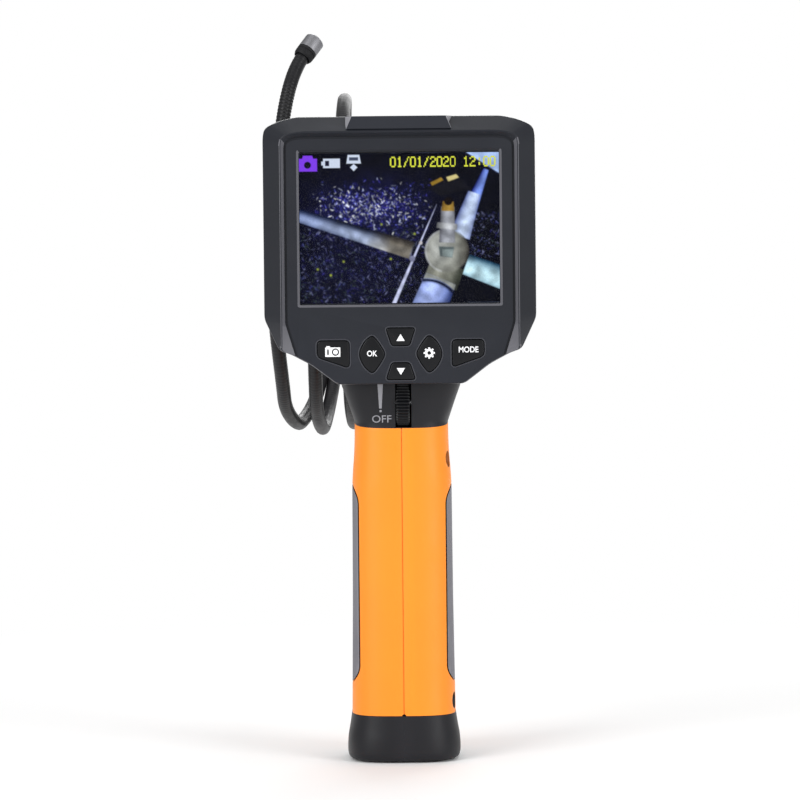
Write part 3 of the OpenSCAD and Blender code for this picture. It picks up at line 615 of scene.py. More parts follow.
def paint_bezel_highlights(body):
    """Painted highlights in paler grey on the inner side walls, window edge and lower outer edge, and in the
    marks' grey on the sides of the top block.
    """
    # Second slot: paler grey for painted highlights; third slot: the marks' grey, here used as a painted
    # highlight
    for name in ("painted_highlight_grey", "print_and_highlight_grey"):
        body.data.materials.append(MATERIALS[name])
    for poly in body.data.polygons:
        x, y, z = (abs(poly.center[0]) / MM, poly.center[1] / MM, poly.center[2] / MM)
        nx, nz = abs(poly.normal[0]), poly.normal[2]
        wall = nx > 0.2 and abs(nz) < 0.5 * nx and 36.5 < x < 42 and y < PANEL_Y - 0.02
        window_side = nx > 0.3 and 34.9 < x < 36.2
        window_foot = nz > 0.3 and z < 163.5 and x < 36
        window_edge = (window_side or window_foot) and y < PANEL_Y + 0.7 and z > 160
        lower_edge = nz < -0.5 and z < 147.5 and FRONT_Y + 0.3 < y < FRONT_Y + 5.2 and x > 22
        # Sides of the top block: painted highlight in the marks' grey
        if nx > 0.3 and 16 < x < 20.5 and z > 223.2 and y < FRONT_Y + 6:
            poly.material_index = 2
        # Inner side walls, window edge and lower outer edge: painted highlight in paler grey
        elif wall or window_edge or lower_edge:
            poly.material_index = 1


def build_bezel():
    body = bezel_body()
    cutters = recess_cutters() + [frame_hollow()] + window_cutters()
    cutters += [plate("hole", inset(key_shape(key), -0.2), PANEL_Y - 1, PANEL_BACK + 1) for key in KEYS]
    boolean(body, cutters + [wheel_room()])
    piece(smooth(body, 24), "head_bezel", "bezel_plastic")
    # Painted highlights on the facets that catch the light
    paint_bezel_highlights(body)


def build_key_rims():
    """Thin raised ridge round each key hole."""
    profile = ((0.22, 0.05), (0.24, -0.2), (0.4, -0.3), (0.62, -0.2), (0.74, 0.05))
    rims = []
    for key in KEYS:
        shape = key_shape(key)
        rims.append(loft("rim", [at_depth(inset(shape, -d), PANEL_Y + y) for d, y in profile], tyre=True))
    piece(smooth(join(rims), 60), "key_rims", "rim_plastic")


def build_key(key):
    """Key with its softened top, the flange that keeps it in, and its plunger."""
    outline, _, plunger = KEYS[key]
    shape = key_shape(key)
    rings = [at_depth(shape, PANEL_BACK + 0.9), at_depth(shape, KEY_FACE + 0.42)]
    for d, y in ((0.03, 0.26), (0.1, 0.12), (0.2, 0.04), (0.34, 0.0)):
        rings.append(at_depth(inset(shape, d), KEY_FACE + y))
    flange = [(x + 0.8 * float(np.sign(x - plunger[0])), z) for x, z in outline]
    parts = [loft("cap", rings), plate("flange", flange, PANEL_BACK + 0.1, PANEL_BACK + 0.9),
             rod("Y", plunger, 1.6, PANEL_BACK + 0.5, -22.4)]
    piece(smooth(join(parts)), "key_" + key, "key_plastic", key + "_button")


# ---- Marks on keys and neck ----

def mark(name, outlines, body, thick=0.06, material="icon_white"):
    """Thin printed inlay on a key's face, made of flat outlines."""
    inlays = [plate("inlay", outline, KEY_FACE - thick, KEY_FACE + 0.05) for outline in outlines]
    piece(join(inlays), name, material, body)


def ring_strip(x, z, r0, r1):
    """Ring as quads, so that its hole stays open."""
    steps = 28
    inner, outer = ([(x + s, z + c) for c, s in circle_points(r, steps)] for r in (r0, r1))
    return [[outer[k - 1], outer[k], inner[k], inner[k - 1]] for k in range(steps)]


def lettering(name, text, x, z, width, height, body, y=KEY_FACE, material="icon_white", bold=0.0):
    """Flat letters centred at x, z, in the built-in font."""
    curve = bpy.data.curves.new(name, "FONT")
    curve.body = text
    curve.extrude = 0.04
    curve.offset = bold
    curve.resolution_u = 6
    holder = add_object(name, curve)
    mesh = evaluated_mesh(holder)
    bpy.data.objects.remove(holder)
    co = np.array([v.co for v in mesh.vertices])
    lo, hi = co.min(0), co.max(0)
    unit = (co - lo) / (hi - lo)
    out = np.stack([
        (x + (unit[:, 0] - 0.5) * width) * MM, (y - 0.06 + (1 - unit[:, 2]) * 0.1) * MM,
        (z + (unit[:, 1] - 0.5) * height) * MM,
    ], 1)
    mesh.vertices.foreach_set("co", out.ravel())
    mesh.update()
    return piece(add_object(name, mesh), name, material, body)


def camera_icon(x, z):
    """Camera in white with its window and lens ring in black."""
    white = [
        [(x - 2.65, z + 1.45), (x + 2.65, z + 1.45), (x + 2.65, z - 1.85), (x - 2.65, z - 1.85)],
        [(x - 2.2, z + 1.9), (x - 1.0, z + 1.9), (x - 0.9, z + 1.44), (x - 2.3, z + 1.44)],
    ]
    black = [[(x - 1.95, z + 0.75), (x - 1.4, z + 0.75), (x - 1.4, z - 1.15), (x - 1.95, z - 1.15)]]
    black += ring_strip(x + 0.95, z - 0.2, 0.85, 1.28)
    mark("icon_camera_lines", black, "camera_button", thick=0.08, material="key_plastic")
    mark("icon_camera", white, "camera_button")


def gear_icon(x, z):
    """Ring with eight teeth."""
    gear = ring_strip(x, z, 0.65, 1.5)
    tooth = ((-0.4, 1.38), (-0.28, 1.98), (0.28, 1.98), (0.4, 1.38))
    for c, s in circle_points(1, 8):
        gear.append([(x + u * c + v * s, z - u * s + v * c) for u, v in tooth])
    mark("icon_settings", gear, "settings_button")


def build_marks():
    camera_icon(-23.8, 145.9)
    lettering("icon_ok", "OK", -10, 145.1, 3.6, 2.05, "ok_button", bold=0.02)
    lettering("icon_mode", "MODE", 23.8, 146.2, 6.9, 2.1, "mode_button", bold=0.02)
    mark("icon_up", [[(0, 151.85), (1.45, 149.4), (-1.45, 149.4)]], "up_button")
    mark("icon_down", [[(-1.45, 139.9), (1.45, 139.9), (0, 137.5)]], "down_button")
    gear_icon(10, 145.1)


def neck_front(x, z):
    """Depth of the neck's front surface at x, z."""
    heights = [ring[0] for ring in NECK_RINGS]
    hw, hd, cy = (float(np.interp(z, heights, [ring[k] for ring in NECK_RINGS])) for k in (1, 2, 3))
    return cy - hd * (1 - (abs(x) / hw) ** CORNER_N) ** (1 / CORNER_N)


def draped(marks):
    """Moves flat marks drawn at depth 0 onto the neck's front."""
    for obj in marks:
        for v in obj.data.vertices:
            x, z = v.co.x / MM, v.co.z / MM
            lift = 0.35 * min(1, max(0, (z - 129) / 2.5))
            v.co.y = v.co.y + (neck_front(x, z) - lift) * MM
    return marks


def build_neck_marks():
    wedge = plate("wedge", [(-8.3, 133.9), (-6.4, 133.9), (-6.9, 125.3), (-7.8, 125.3)], -0.07, 0.1)
    dot = plate("dot", [(-7.3 + s, 124.35 + c) for c, s in circle_points(0.42, 16)], -0.07, 0.1)
    shape = join(draped([wedge, dot]))
    piece(shape, "dimmer_mark", "print_and_highlight_grey")
    word = lettering("off_mark", "OFF", -6.9, 121.55, 6.8, 2.6, "handset", y=0.0, material="print_and_highlight_grey")
    draped([word])


# ---- Display picture ----

GLYPHS = {
    "0": "01110 10001 10001 10001 10001 10001 01110", "1": "00100 01100 00100 00100 00100 00100 01110",
    "2": "01110 10001 00001 00110 01000 10000 11111", "3": "11110 00001 00001 01110 00001 00001 11110",
    "/": "00001 00010 00010 00100 01000 01000 10000", ":": "00000 00100 00100 00000 00100 00100 00000",
    " ": "00000 00000 00000 00000 00000 00000 00000",
}


class Canvas:
    """Picture drawn by formula. Places are shares of the width (u) and of the height (v, downwards)."""

    SOFT = 0.004

    def __init__(self, w, h):
        self.v, self.u = np.meshgrid((np.arange(h) + 0.5) / h, (np.arange(w) + 0.5) / w, indexing="ij")
        self.aspect = PICTURE_H / PICTURE_W
        self.rgb = np.zeros((h, w, 3))
        self.rgb[:] = (0.012, 0.014, 0.03)

    def blend(self, mask, color):
        mask = np.clip(mask, 0, 1)[..., None]
        self.rgb = self.rgb * (1 - mask) + np.asarray(color) * mask

    def along(self, a, b):
        """Share of the way from a to b, and distance from the line in widths."""
        p = np.stack([self.u - a[0], (self.v - a[1]) * self.aspect], -1)
        d = np.array([b[0] - a[0], (b[1] - a[1]) * self.aspect])
        t = (p @ d) / (d @ d)
        side = (p[..., 0] * d[1] - p[..., 1] * d[0]) / np.sqrt(d @ d)
        return t, side

    def pipe(self, a, b, ra, rb, light, dark, tilt):
        """Round pipe lit from above: light near its upper side, dark at its edges."""
        t, side = self.along(a, b)
        r = ra + (rb - ra) * np.clip(t, 0, 1)
        s = side / r
        ends = np.clip((t + 0.01) / 0.02, 0, 1) * np.clip((1.01 - t) / 0.02, 0, 1)
        mask = np.clip((1 - np.abs(s)) * r / self.SOFT, 0, 1) * ends
        shade = np.clip(1 - np.abs(s + tilt) ** 1.6 * 0.75, 0, 1)
        color = np.asarray(dark) + (np.asarray(light) - np.asarray(dark)) * shade[..., None]
        self.blend(mask, color)
        return t, s, mask

    def shape(self, pts, color):
        """Filled outline with turning points in order (clockwise on the display)."""
        mask = np.ones_like(self.u)
        for a, b in zip(pts, pts[1:] + pts[:1]):
            _, side = self.along(a, b)
            mask = np.minimum(mask, np.clip(-side / self.SOFT + 0.5, 0, 1))
        self.blend(mask, color)

    def patch(self, u0, u1, v0, v1, color):
        self.shape([(u0, v0), (u1, v0), (u1, v1), (u0, v1)], color)

    def disc(self, u, v, r, color, soft=SOFT):
        d = np.hypot(self.u - u, (self.v - v) * self.aspect)
        self.blend((r - d) / soft, color)
        return d

    def text(self, text, u0, u1, v0, v1, color):
        """Letters made of dots, five across and seven down."""
        cell, line = (u1 - u0) / len(text), (v1 - v0) / 7
        for k, letter in enumerate(text):
            for j, row in enumerate(GLYPHS[letter].split()):
                for i in [i for i, bit in enumerate(row) if bit == "1"]:
                    u, v = u0 + cell * (k + (i + 0.3) / 5.9 + 1 / 12), v0 + line * (j + 0.5)
                    dot = (np.abs(self.u - u) < cell / 10) & (np.abs(self.v - v) < line * 7 / 12)
                    self.blend(dot * 1.0, color)


def litter(canvas, count, place, lengths, colors, keep):
    """Scatters short bright strokes, as leaf litter lit by the probe."""
    h, w = canvas.u.shape
    for _ in range(count):
        u, v = place()
        if not keep(u, v):
            continue
        length = rng.uniform(*lengths)
        a = rng.uniform(0, math.pi)
        color = np.array(colors[rng.integers(len(colors))]) * rng.uniform(0.25, 1.0)
        steps = int(length * w * 1.5) + 1
        wide = rng.random() < 0.35
        for k in range(steps):
            x = int((u + length * (k / steps - 0.5) * math.cos(a)) * w)
            y = int((v + length * (k / steps - 0.5) * math.sin(a) / canvas.aspect) * h)
            if 0 <= x < w - 1 and 0 <= y < h - 1:
                canvas.rgb[y, x] = np.maximum(canvas.rgb[y, x], color)
                if wide:
                    canvas.rgb[y, x + 1] = np.maximum(canvas.rgb[y, x + 1], color * 0.6)
                    canvas.rgb[y + 1, x] = np.maximum(canvas.rgb[y + 1, x], color * 0.6)


def softened(rgb, times):
    for _ in range(times):
        near = sum(np.roll(rgb, (i, j), (0, 1)) for i in (-1, 0, 1) for j in (-1, 0, 1))
        rgb = 0.5 * rgb + near / 18
    return rgb


def blotches(h, w):
    """Soft uneven light, 0 to 1."""
    size = 9
    field = np.kron(rng.random((h // size + 1, w // size + 1)), np.ones((size, size)))[:h, :w]
    for _ in range(6):
        field = sum(np.roll(field, (i, j), (0, 1)) for i in (-2, 0, 2) for j in (-2, 0, 2)) / 9
    return field


def draw_ground(c):
    """Dark ground with a patch of litter in the light and dimmer litter round it."""
    glow = np.exp(-(((c.u - 0.35) / 0.3) ** 2 + ((c.v - 0.38) / 0.2) ** 2))
    c.rgb += glow[..., None] * np.array((0.03, 0.03, 0.11))
    low = np.exp(-(((c.u - 0.25) / 0.3) ** 2 + ((c.v - 0.8) / 0.25) ** 2))
    c.rgb += low[..., None] * np.array((0.015, 0.015, 0.05))
    pale = [(0.8, 0.84, 0.98), (0.3, 0.32, 0.8), (0.9, 0.9, 0.85), (0.16, 0.14, 0.55), (0.1, 0.1, 0.4),
            (0.14, 0.13, 0.45)]
    dim = [(0.2, 0.22, 0.42), (0.1, 0.09, 0.3), (0.35, 0.36, 0.5), (0.16, 0.2, 0.18)]
    for count, place, lengths, colors, keep in (
        (1250, lambda: (rng.normal(0.36, 0.15), rng.normal(0.38, 0.085)), (0.004, 0.018), pale,
         lambda u, v: 0.07 < u < 0.67 and 0.17 < v < 0.6),
        (1100, lambda: (rng.uniform(0, 0.62), rng.uniform(0.5, 1.0)), (0.005, 0.02), dim, lambda u, v: True),
        (160, lambda: (rng.uniform(0.85, 1), rng.uniform(0.4, 0.7)), (0.005, 0.02), dim, lambda u, v: True),
    ):
        litter(c, count, place, lengths, colors, keep)
    for u, v in ((0.41, 0.475), (0.155, 0.81), (0.09, 0.77), (0.575, 0.54), (0.22, 0.72), (0.455, 0.705)):
        c.disc(u, v, 0.009, (0.45, 0.5, 0.12), 0.006)
    c.rgb = softened(c.rgb, 1) * 1.25


def draw_pipes(c, noise):
    """Left pipe with its brown end, far pipes at the right, and the lower pipe with a band."""
    t, s, mask = c.pipe((-0.02, 0.405), (0.56, 0.65), 0.034, 0.046, (0.56, 0.62, 0.76), (0.02, 0.04, 0.12),
                        0.3)
    for share, color in (
        (np.clip(0.5 - t, 0, 1) * 0.8, (0.10, 0.15, 0.34)),
        (np.clip((t - 0.62) / 0.2, 0, 1) * 0.75, (0.32, 0.27, 0.17)),
        (np.exp(-((t - 0.72) / 0.1) ** 2) * np.clip(-s + 0.2, 0, 1) * 0.6, (0.75, 0.76, 0.75)),
        (np.clip(s * 1.2 - 0.2, 0, 1) * 0.7, (0.02, 0.025, 0.05)),
    ):
        c.blend(mask * share, color)
    c.shape([(0.81, -0.02), (1.02, -0.02), (1.02, 0.16)], (0.62, 0.74, 0.95))
    c.blend((noise > 0.75) * (c.u - 0.81 > c.v * 1.2) * (c.v < 0.15) * 0.35, (0.3, 0.35, 0.6))
    c.pipe((0.815, 0.5), (0.935, 0.115), 0.048, 0.016, (0.42, 0.54, 0.95), (0.06, 0.08, 0.3), 0.35)
    c.pipe((0.80, 0.56), (0.875, 0.27), 0.055, 0.034, (0.78, 0.86, 1.0), (0.08, 0.11, 0.32), 0.1)
    c.pipe((0.83, 0.745), (1.03, 0.845), 0.055, 0.06, (0.74, 0.92, 0.96), (0.06, 0.16, 0.24), 0.3)
    c.pipe((0.74, 0.74), (0.70, 0.88), 0.088, 0.09, (0.50, 0.50, 0.44), (0.14, 0.15, 0.12), 0.35)
    t, s, mask = c.pipe((0.705, 0.84), (0.64, 1.05), 0.082, 0.09, (0.62, 0.70, 0.98), (0.12, 0.16, 0.34), 0.3)
    band = (t - 0.12 - 0.12 * s * s) / 0.05
    c.blend(mask * np.exp(-band ** 2), (0.02, 0.03, 0.08))
    c.blend(mask * np.clip(-band - 0.6, 0, 1), (0.48, 0.49, 0.46))


def draw_valve(c, noise):
    """Round valve body with its window and lit rim, and the stem over it."""
    d = c.disc(0.735, 0.655, 0.112, (0.36, 0.36, 0.32), 0.012)
    lit = np.exp(-(((c.u - 0.70) / 0.08) ** 2 + ((c.v - 0.64) / 0.12) ** 2))
    c.blend((d < 0.112) * lit * 0.7, (0.72, 0.73, 0.70))
    c.blend((d < 0.112) * np.clip((c.u - 0.79) / 0.05, 0, 1) * 0.8, (0.16, 0.15, 0.13))
    c.blend((d < 0.112) * (noise > 0.8) * 0.15, (0.15, 0.15, 0.15))
    c.blend((d < 0.11) * (d > 0.1) * (c.u < 0.71) * 0.35, (0.82, 0.83, 0.84))
    c.shape([(0.695, 0.625), (0.772, 0.63), (0.762, 0.70), (0.702, 0.69)], (0.26, 0.30, 0.30))
    c.shape([(0.712, 0.645), (0.768, 0.645), (0.762, 0.695), (0.712, 0.69)], (0.42, 0.47, 0.46))
    c.pipe((0.737, 0.60), (0.742, 0.36), 0.042, 0.036, (0.62, 0.63, 0.66), (0.16, 0.16, 0.18), 0.1)
    c.pipe((0.735, 0.51), (0.738, 0.47), 0.055, 0.052, (0.72, 0.73, 0.74), (0.24, 0.24, 0.24), 0.2)
    c.pipe((0.742, 0.39), (0.744, 0.325), 0.034, 0.03, (0.62, 0.46, 0.16), (0.30, 0.20, 0.05), 0.2)
    c.disc(0.745, 0.325, 0.022, (0.05, 0.03, 0.02))


def draw_lever(c):
    """Dark lever with its two worn plates, and the thin rod hanging from it."""
    c.shape([(0.64, 0.232), (0.785, 0.155), (0.855, 0.238), (0.71, 0.292)], (0.045, 0.045, 0.06))
    c.shape([(0.655, 0.20), (0.71, 0.165), (0.722, 0.185), (0.665, 0.222)], (0.52, 0.38, 0.10))
    c.shape([(0.735, 0.165), (0.785, 0.145), (0.80, 0.168), (0.745, 0.195)], (0.80, 0.72, 0.42))
    t, side = c.along((0.687, 0.345), (0.47, 1.0))
    width = 0.0025 + 0.009 * np.clip(t, 0, 1)
    c.blend(np.clip((width - np.abs(side)) / 0.003, 0, 1) * (t > 0) * (t < 1.01), (0.78, 0.80, 0.95))
    c.disc(0.605, 0.60, 0.011, (0.75, 0.72, 0.72))
    c.disc(0.562, 0.705, 0.017, (0.42, 0.43, 0.55))


def draw_picture(w, h):
    c = Canvas(w, h)
    draw_ground(c)
    noise = rng.random((h, w))
    draw_pipes(c, noise)
    draw_valve(c, noise)
    draw_lever(c)
    c.rgb *= (0.62 + 0.76 * blotches(h, w))[..., None]
    c.rgb = softened(c.rgb * (0.88 + 0.24 * noise[..., None]), 2) ** 1.35
    draw_status(c)
    return np.clip(c.rgb, 0, 1) ** 1.25


def draw_status(c):
    """Status row: camera, battery and card signs, and a plain date and time."""
    purple, pale = (0.30, 0.09, 0.85), (0.72, 0.78, 0.88)
    c.patch(0.0, 0.092, 0.035, 0.12, purple)
    c.shape([(0.022, 0.015), (0.068, 0.015), (0.075, 0.045), (0.015, 0.045)], purple)
    c.disc(0.044, 0.078, 0.019, (0.01, 0.01, 0.03))
    c.patch(0.122, 0.206, 0.036, 0.098, pale)
    c.patch(0.113, 0.123, 0.055, 0.08, pale)
    c.patch(0.132, 0.152, 0.05, 0.085, (0.03, 0.03, 0.06))
    c.shape([(0.245, 0.012), (0.303, 0.012), (0.311, 0.07), (0.238, 0.07)], pale)
    c.patch(0.252, 0.297, 0.028, 0.05, (0.1, 0.12, 0.18))
    c.shape([(0.2745, 0.072), (0.293, 0.095), (0.2745, 0.12), (0.256, 0.095)], pale)
    c.text("01/01/2020 12:00", 0.455, 0.985, 0.026, 0.096, (0.78, 0.80, 0.10))


def build_picture():
    w, h = 400, 300
    rgb = draw_picture(w, h)
    xs = PICTURE_W * (np.arange(w) / (w - 1) - 0.5)
    zs = PICTURE_Z + PICTURE_H * (0.5 - np.arange(h) / (h - 1))
    gx, gz = np.meshgrid(xs, zs)
    verts = np.stack([gx, np.full_like(gx, LCD_Y - 0.04), gz], -1).reshape(-1, 3) * MM
    idx = np.arange(h * w).reshape(h, w)
    quads = np.stack([idx[:-1, :-1], idx[1:, :-1], idx[1:, 1:], idx[:-1, 1:]], -1).reshape(-1, 4)
    mesh = bpy.data.meshes.new("display_picture")
    mesh.from_pydata(verts.tolist(), [], quads.tolist())
    attr = mesh.color_attributes.new("picture", "FLOAT_COLOR", "POINT")
    rgba = np.concatenate([rgb.reshape(-1, 3), np.ones((h * w, 1))], 1).astype(np.float32)
    attr.data.foreach_set("color", rgba.ravel())
    piece(add_object("display_picture", mesh), "display_picture", "picture")


# ---- Body shells ----

def core_size(z, less=0.0):
    """Half width and half depth of the handle core inside the covers."""
    level = max(z, COVER_LO)
    return [ease(table, level) - COVER_T - COVER_GAP - less for table in (COVER_W, COVER_D)]


def half_outline(half):
    """Right half of a head outline with rounded corners, closed by a straight edge at the seam."""
    full = rounded(both(half), 1.6, 4)
    right = full[:len(full) // 2]
    return [(SEAM, right[0][1])] + right + [(SEAM, right[-1][1])]


def between(a, b, k):
    return [(p[0] + k * (q[0] - p[0]), p[1] + k * (q[1] - p[1])) for p, q in zip(a, b)]


def shell_skin():
    """Foot, handle core and neck of the right half, with the lip that meets the covers' edge."""
    handle_z = [16.3, 28, 42, 57, 78, 99, 104.5, 110, COVER_HI]
    rings = [half_ring(w, d, z, SEAM, cy) for z, w, d, cy in spline(FOOT_RINGS, 4)]
    rings += [half_ring(*core_size(z), z, SEAM) for z in handle_z]
    rings += [half_ring(w, d, z, SEAM, cy) for z, w, d, cy in spline(NECK_RINGS, 4)]
    lip = [half_ring(*cover_size(z), z, SEAM) for z in (114, 117, COVER_HI - 0.3, COVER_HI + 0.4)]
    shell = loft("shell", rings)
    return boolean(shell, [boolean(loft("lip", lip), [top_dip()], "INTERSECT")], "UNION")


def head_and_nose():
    """Back of the head, rounded towards the rear, and the nose the probe plugs into."""
    sil, back = half_outline(SILHOUETTE), half_outline(BACK_HALF)
    stages = [
        (0.0, PART_Y), (0.0, BACK_Y - 11), (0.04, BACK_Y - 9), (0.12, BACK_Y - 7), (0.25, BACK_Y - 5),
        (0.42, BACK_Y - 3.2), (0.64, BACK_Y - 1.6), (0.86, BACK_Y - 0.5), (1.0, BACK_Y),
    ]
    head = loft("head", [at_depth(between(sil, back, k), y) for k, y in stages])
    nose = turned("nose", [
        (22, 0), (21.5, BACK_Y), (20.4, 11), (19.6, 13.6), (18.4, 17.4), (17.1, 22), (15.6, 27),
        (14.4, 32), (13.9, 36), (13.8, 39.4), (13.4, 40),
    ])
    return [head, boolean(nose, [box((-40, SEAM), (-1, 41), (145, 225))])]


def shell_hollow(side):
    """Room inside a half, less its screw bosses, ribs, frame screw posts and wheel bearing."""
    rings = [half_ring(*core_size(z, 1.3), z, -2.0, steps=30) for z in (6.4, 28, 57, 99, 110, COVER_HI)]
    for w, d, z in ((17.3, 16.8, 128), (19, 16.8, 133), (15.6, 12.6, 150)):
        rings.append(half_ring(w, d, z, -2.0, steps=30))
    steps = [
        plate("front_room", inset(both(SILHOUETTE), 2.2), PART_Y - 1, BACK_Y - 8),
        plate("back_room", inset(both(BACK_HALF), 1.2), PART_Y - 1, BACK_Y - 2.2),
        turned("nose_room", [(17, 0), (17, 11), (14.8, 20), (12.2, 30), (11.6, 36.4)], 64),
    ]
    hollow = boolean(loft("hollow", rings), steps, "UNION")
    ribs = []
    for y, z in SHELL_SCREWS:
        ribs.append(rod("X", (y, z), BOSS_R, -30, 30))
        ribs.append(box((-30, 30), (y if y > 0 else -20, 20 if y > 0 else y), (z - 0.9, z + 0.9)))
    ribs += [rod("Y", (x, z), 4.6, PART_Y - 2, 10) for x, z in FRAME_SCREWS]
    bearing = (8, 25) if side > 0 else (4.2, 25)
    ribs.append(box(bearing, (WHEEL_Y - 4, WHEEL_Y + 4), (WHEEL_Z - 4, WHEEL_Z + 4)))
    return boolean(hollow, ribs)


def screw_cuts(side):
    """Bores and head recesses of the body screws and the frame screws."""
    cuts = []
    for y, z in SHELL_SCREWS:
        cuts += [rod("X", (y, z), 1.3, -8.5, 30), rod("X", (y, z), RECESS_R, 11.2, 30, 48)]
    for x, z in FRAME_SCREWS:
        cuts += [rod("Y", (side * x, z), 1.35, PART_Y - 2, 10), rod("Y", (side * x, z), 2.8, -3, 12, 48)]
    return cuts


def hatch_cuts():
    """Opening in the underside with the step the hatch lies in, and the hinge's room and pin bore."""
    return [
        box((-15.2, 15.2), (-8.9, 9.8), (-1, 7.4)), box((-16, 16), (DOOR_Y + 3.8, 12.2), (-1, 2.1)),
        box((-LUG_X, LUG_X), (-12.7, DOOR_Y + 4.8), (-1, 2.1)),
        rod("X", (DOOR_Y, DOOR_Z), 2.2, -LUG_X, LUG_X), rod("X", (DOOR_Y, DOOR_Z), 0.86, -15.6, 15.6),
    ]


def port_cuts():
    """Seat of the port cover, and the openings for the socket and the card."""
    return [
        box((46.3, 49.8), (-11.2, -0.8), (172, 204)), box((43.8, 47.8), (-7.1, -2.8), (175.7, 184)),
        box((43.8, 47.8), (-5.5, -3.3), (189.2, 200.8)),
    ]


def shell_cuts(side):
    """Every hole and room cut from one half."""
    wheel = [wheel_slot(), wheel_room(), rod("X", (WHEEL_Y, WHEEL_Z), 1.56, -9.5, 9.5)]
    neck_room = box((-14, 14), (-11.8, 10), (130, 156))
    nose_bore = rod("Y", (0, NOSE_Z), 8.05, 30, 41, 64)
    cell_room = rod("Z", (side * 7.15, 0.3), 7.2, 90, 111.2, 48)
    bezel_room = box((-60, 60), (-60, PART_Y), (133.95, 240))
    cuts = screw_cuts(side) + wheel + [neck_room, nose_bore] + hatch_cuts() + [cell_room]
    return cuts + (port_cuts() if side > 0 else []) + [bezel_room]


def build_shell(side):
    shell = boolean(shell_skin(), head_and_nose(), "UNION")
    shell = on_side(boolean(shell, [shell_hollow(side)]), side)
    boolean(shell, shell_cuts(side))
    piece(smooth(shell, 28), "body_" + SIDES[side], "shell_plastic")


# ---- Covers and grips ----

def cover_size(z):
    """Half width and half depth of the covers."""
    return [float(np.mean([ease(table, z + k) for k in (-3, 0, 3)])) for table in (COVER_W, COVER_D)]


def cover_skin(less=0.0, longer=0.0):
    """Rings of the covers' right half. A smaller skin, by less all round, also reaches past the seam."""
    zs = [COVER_LO - longer] + list(np.linspace(COVER_LO + 0.6, COVER_HI - 0.6, 40)) + [COVER_HI + longer]
    rows = []
    for z in zs:
        w, d = cover_size(z)
        rows.append(half_ring(w - less, d - less, z, SEAM if less == 0 else -2.0))
    return rows


def inner_skin():
    """Space inside the covers, 1 mm longer than them at each end."""
    rows = cover_skin(COVER_T)
    lower = [(x, y, z - 1) for x, y, z in rows[0]]
    upper = [(x, y, z + 1) for x, y, z in rows[-1]]
    return loft("inner", [lower] + rows + [upper])


def dish(y, z):
    """Flared mouth of a screw recess in the right cover."""
    w = cover_size(z)[0]
    mouth = ((w - 2.2, RECESS_R), (w - 0.6, DISH_R), (w + 3, DISH_R + 0.3))
    return loft("dish", [[(x, y + c, z + s) for c, s in circle_points(r, 36)] for x, r in mouth])


def paint_dish_shade(cover):
    """Painted shade on the walls inside the screw recesses: darker orange in the upper ones, black shell
    plastic in the two low ones.
    """
    for name in ("cover_painted_shade", "shell_plastic"):
        cover.data.materials.append(MATERIALS[name])
    for poly in cover.data.polygons:
        x, y, z = (k / MM for k in poly.center)
        for sy, sz in SHELL_SCREWS:
            away = math.hypot(y - sy, z - sz)
            facing = (poly.normal[1] * (y - sy) + poly.normal[2] * (z - sz)) / max(away, 0.1)
            # Painted shade on the recess walls: black shell plastic low down, darker orange higher up
            if away < DISH_R + 0.2 and x > 8 and facing < -0.45:
                poly.material_index = 2 if sz < 60 else 1


def top_dip():
    """Space over the covers' upper edge, which runs lower at the front."""
    side_view = [
        (-30, COVER_HI + 4), (-30, COVER_HI - 2 * COVER_DIP), (-1, COVER_HI), (30, COVER_HI),
        (30, COVER_HI + 4),
    ]
    return loft("top_dip", [[(x, y, z) for y, z in side_view] for x in (-30, 30)])


def seam_groove():
    """Shallow groove along both seams between the covers."""
    right = cover_skin(0.35, 1.0)
    left = [[(-x, y, z) for x, y, z in reversed(row)] for row in right]
    return boolean(box((-0.16, 0.16), (-30, 30), (-1, 130)), [loft("core", right), loft("core", left)])


def build_cover(side):
    skin = boolean(loft("cover", cover_skin()), [inner_skin()])
    grip_room = rounded(inset(GRIP_SHAPE, -0.4), 2.2, 6)
    skin = on_side(boolean(skin, [plate("room", grip_room, -60, 60)]), side)
    cuts = [wheel_slot()]
    if side > 0:
        cuts += [rod("X", (y, z), RECESS_R, 8, 30, 48) for y, z in SHELL_SCREWS]
        cuts += [dish(y, z) for y, z in SHELL_SCREWS]
    cuts += [top_dip(), rod("Y", (0, COVER_LO - 0.1), 0.75, -30, -14, 24), seam_groove()]
    boolean(skin, cuts)
    add_bevel(skin, 0.22, 40)
    apply_modifiers(skin)
    piece(smooth(skin, 30), "cover_" + SIDES[side], "cover_plastic")
    if side > 0:
        # Painted shade inside the screw recesses
        paint_dish_shade(skin)


def build_grip(side):
    grip = boolean(loft("grip", cover_skin()), [inner_skin()])
    boolean(grip, [plate("shape", rounded(GRIP_SHAPE, 2.0, 6), -60, 60)], "INTERSECT")
    add_bevel(on_side(grip, side), 0.3, 40, 3)
    apply_modifiers(grip)
    piece(smooth(grip, 30), "grip_" + SIDES[side], "grip_rubber")


# ---- Thumbwheel ----

def build_wheel():
    ridges, per = 50, 8
    rings = []
    for x, drop in ((-1, 0.35), (-0.86, 0.1), (-0.7, 0.0), (0.7, 0.0), (0.86, 0.1), (1, 0.35)):
        ring = []
        for k in range(ridges * per):
            a = 2 * math.pi * k / (ridges * per)
            r = WHEEL_R - drop - 0.5 * (0.5 - 0.5 * math.cos(ridges * a)) ** 1.5
            ring.append((WHEEL_X + x * WHEEL_W / 2, WHEEL_Y + r * math.cos(a), WHEEL_Z + r * math.sin(a)))
        rings.append(ring)
    wheel = boolean(loft("wheel", rings), [rod("X", (WHEEL_Y, WHEEL_Z), 1.5, -20, 20)])
    piece(smooth(wheel, 40), "thumbwheel", "key_plastic", "dimmer_wheel")


# ---- Cable ----

RELIEF_END = 76.3
COIL_Y, COIL_Z = 76.0, 176.0
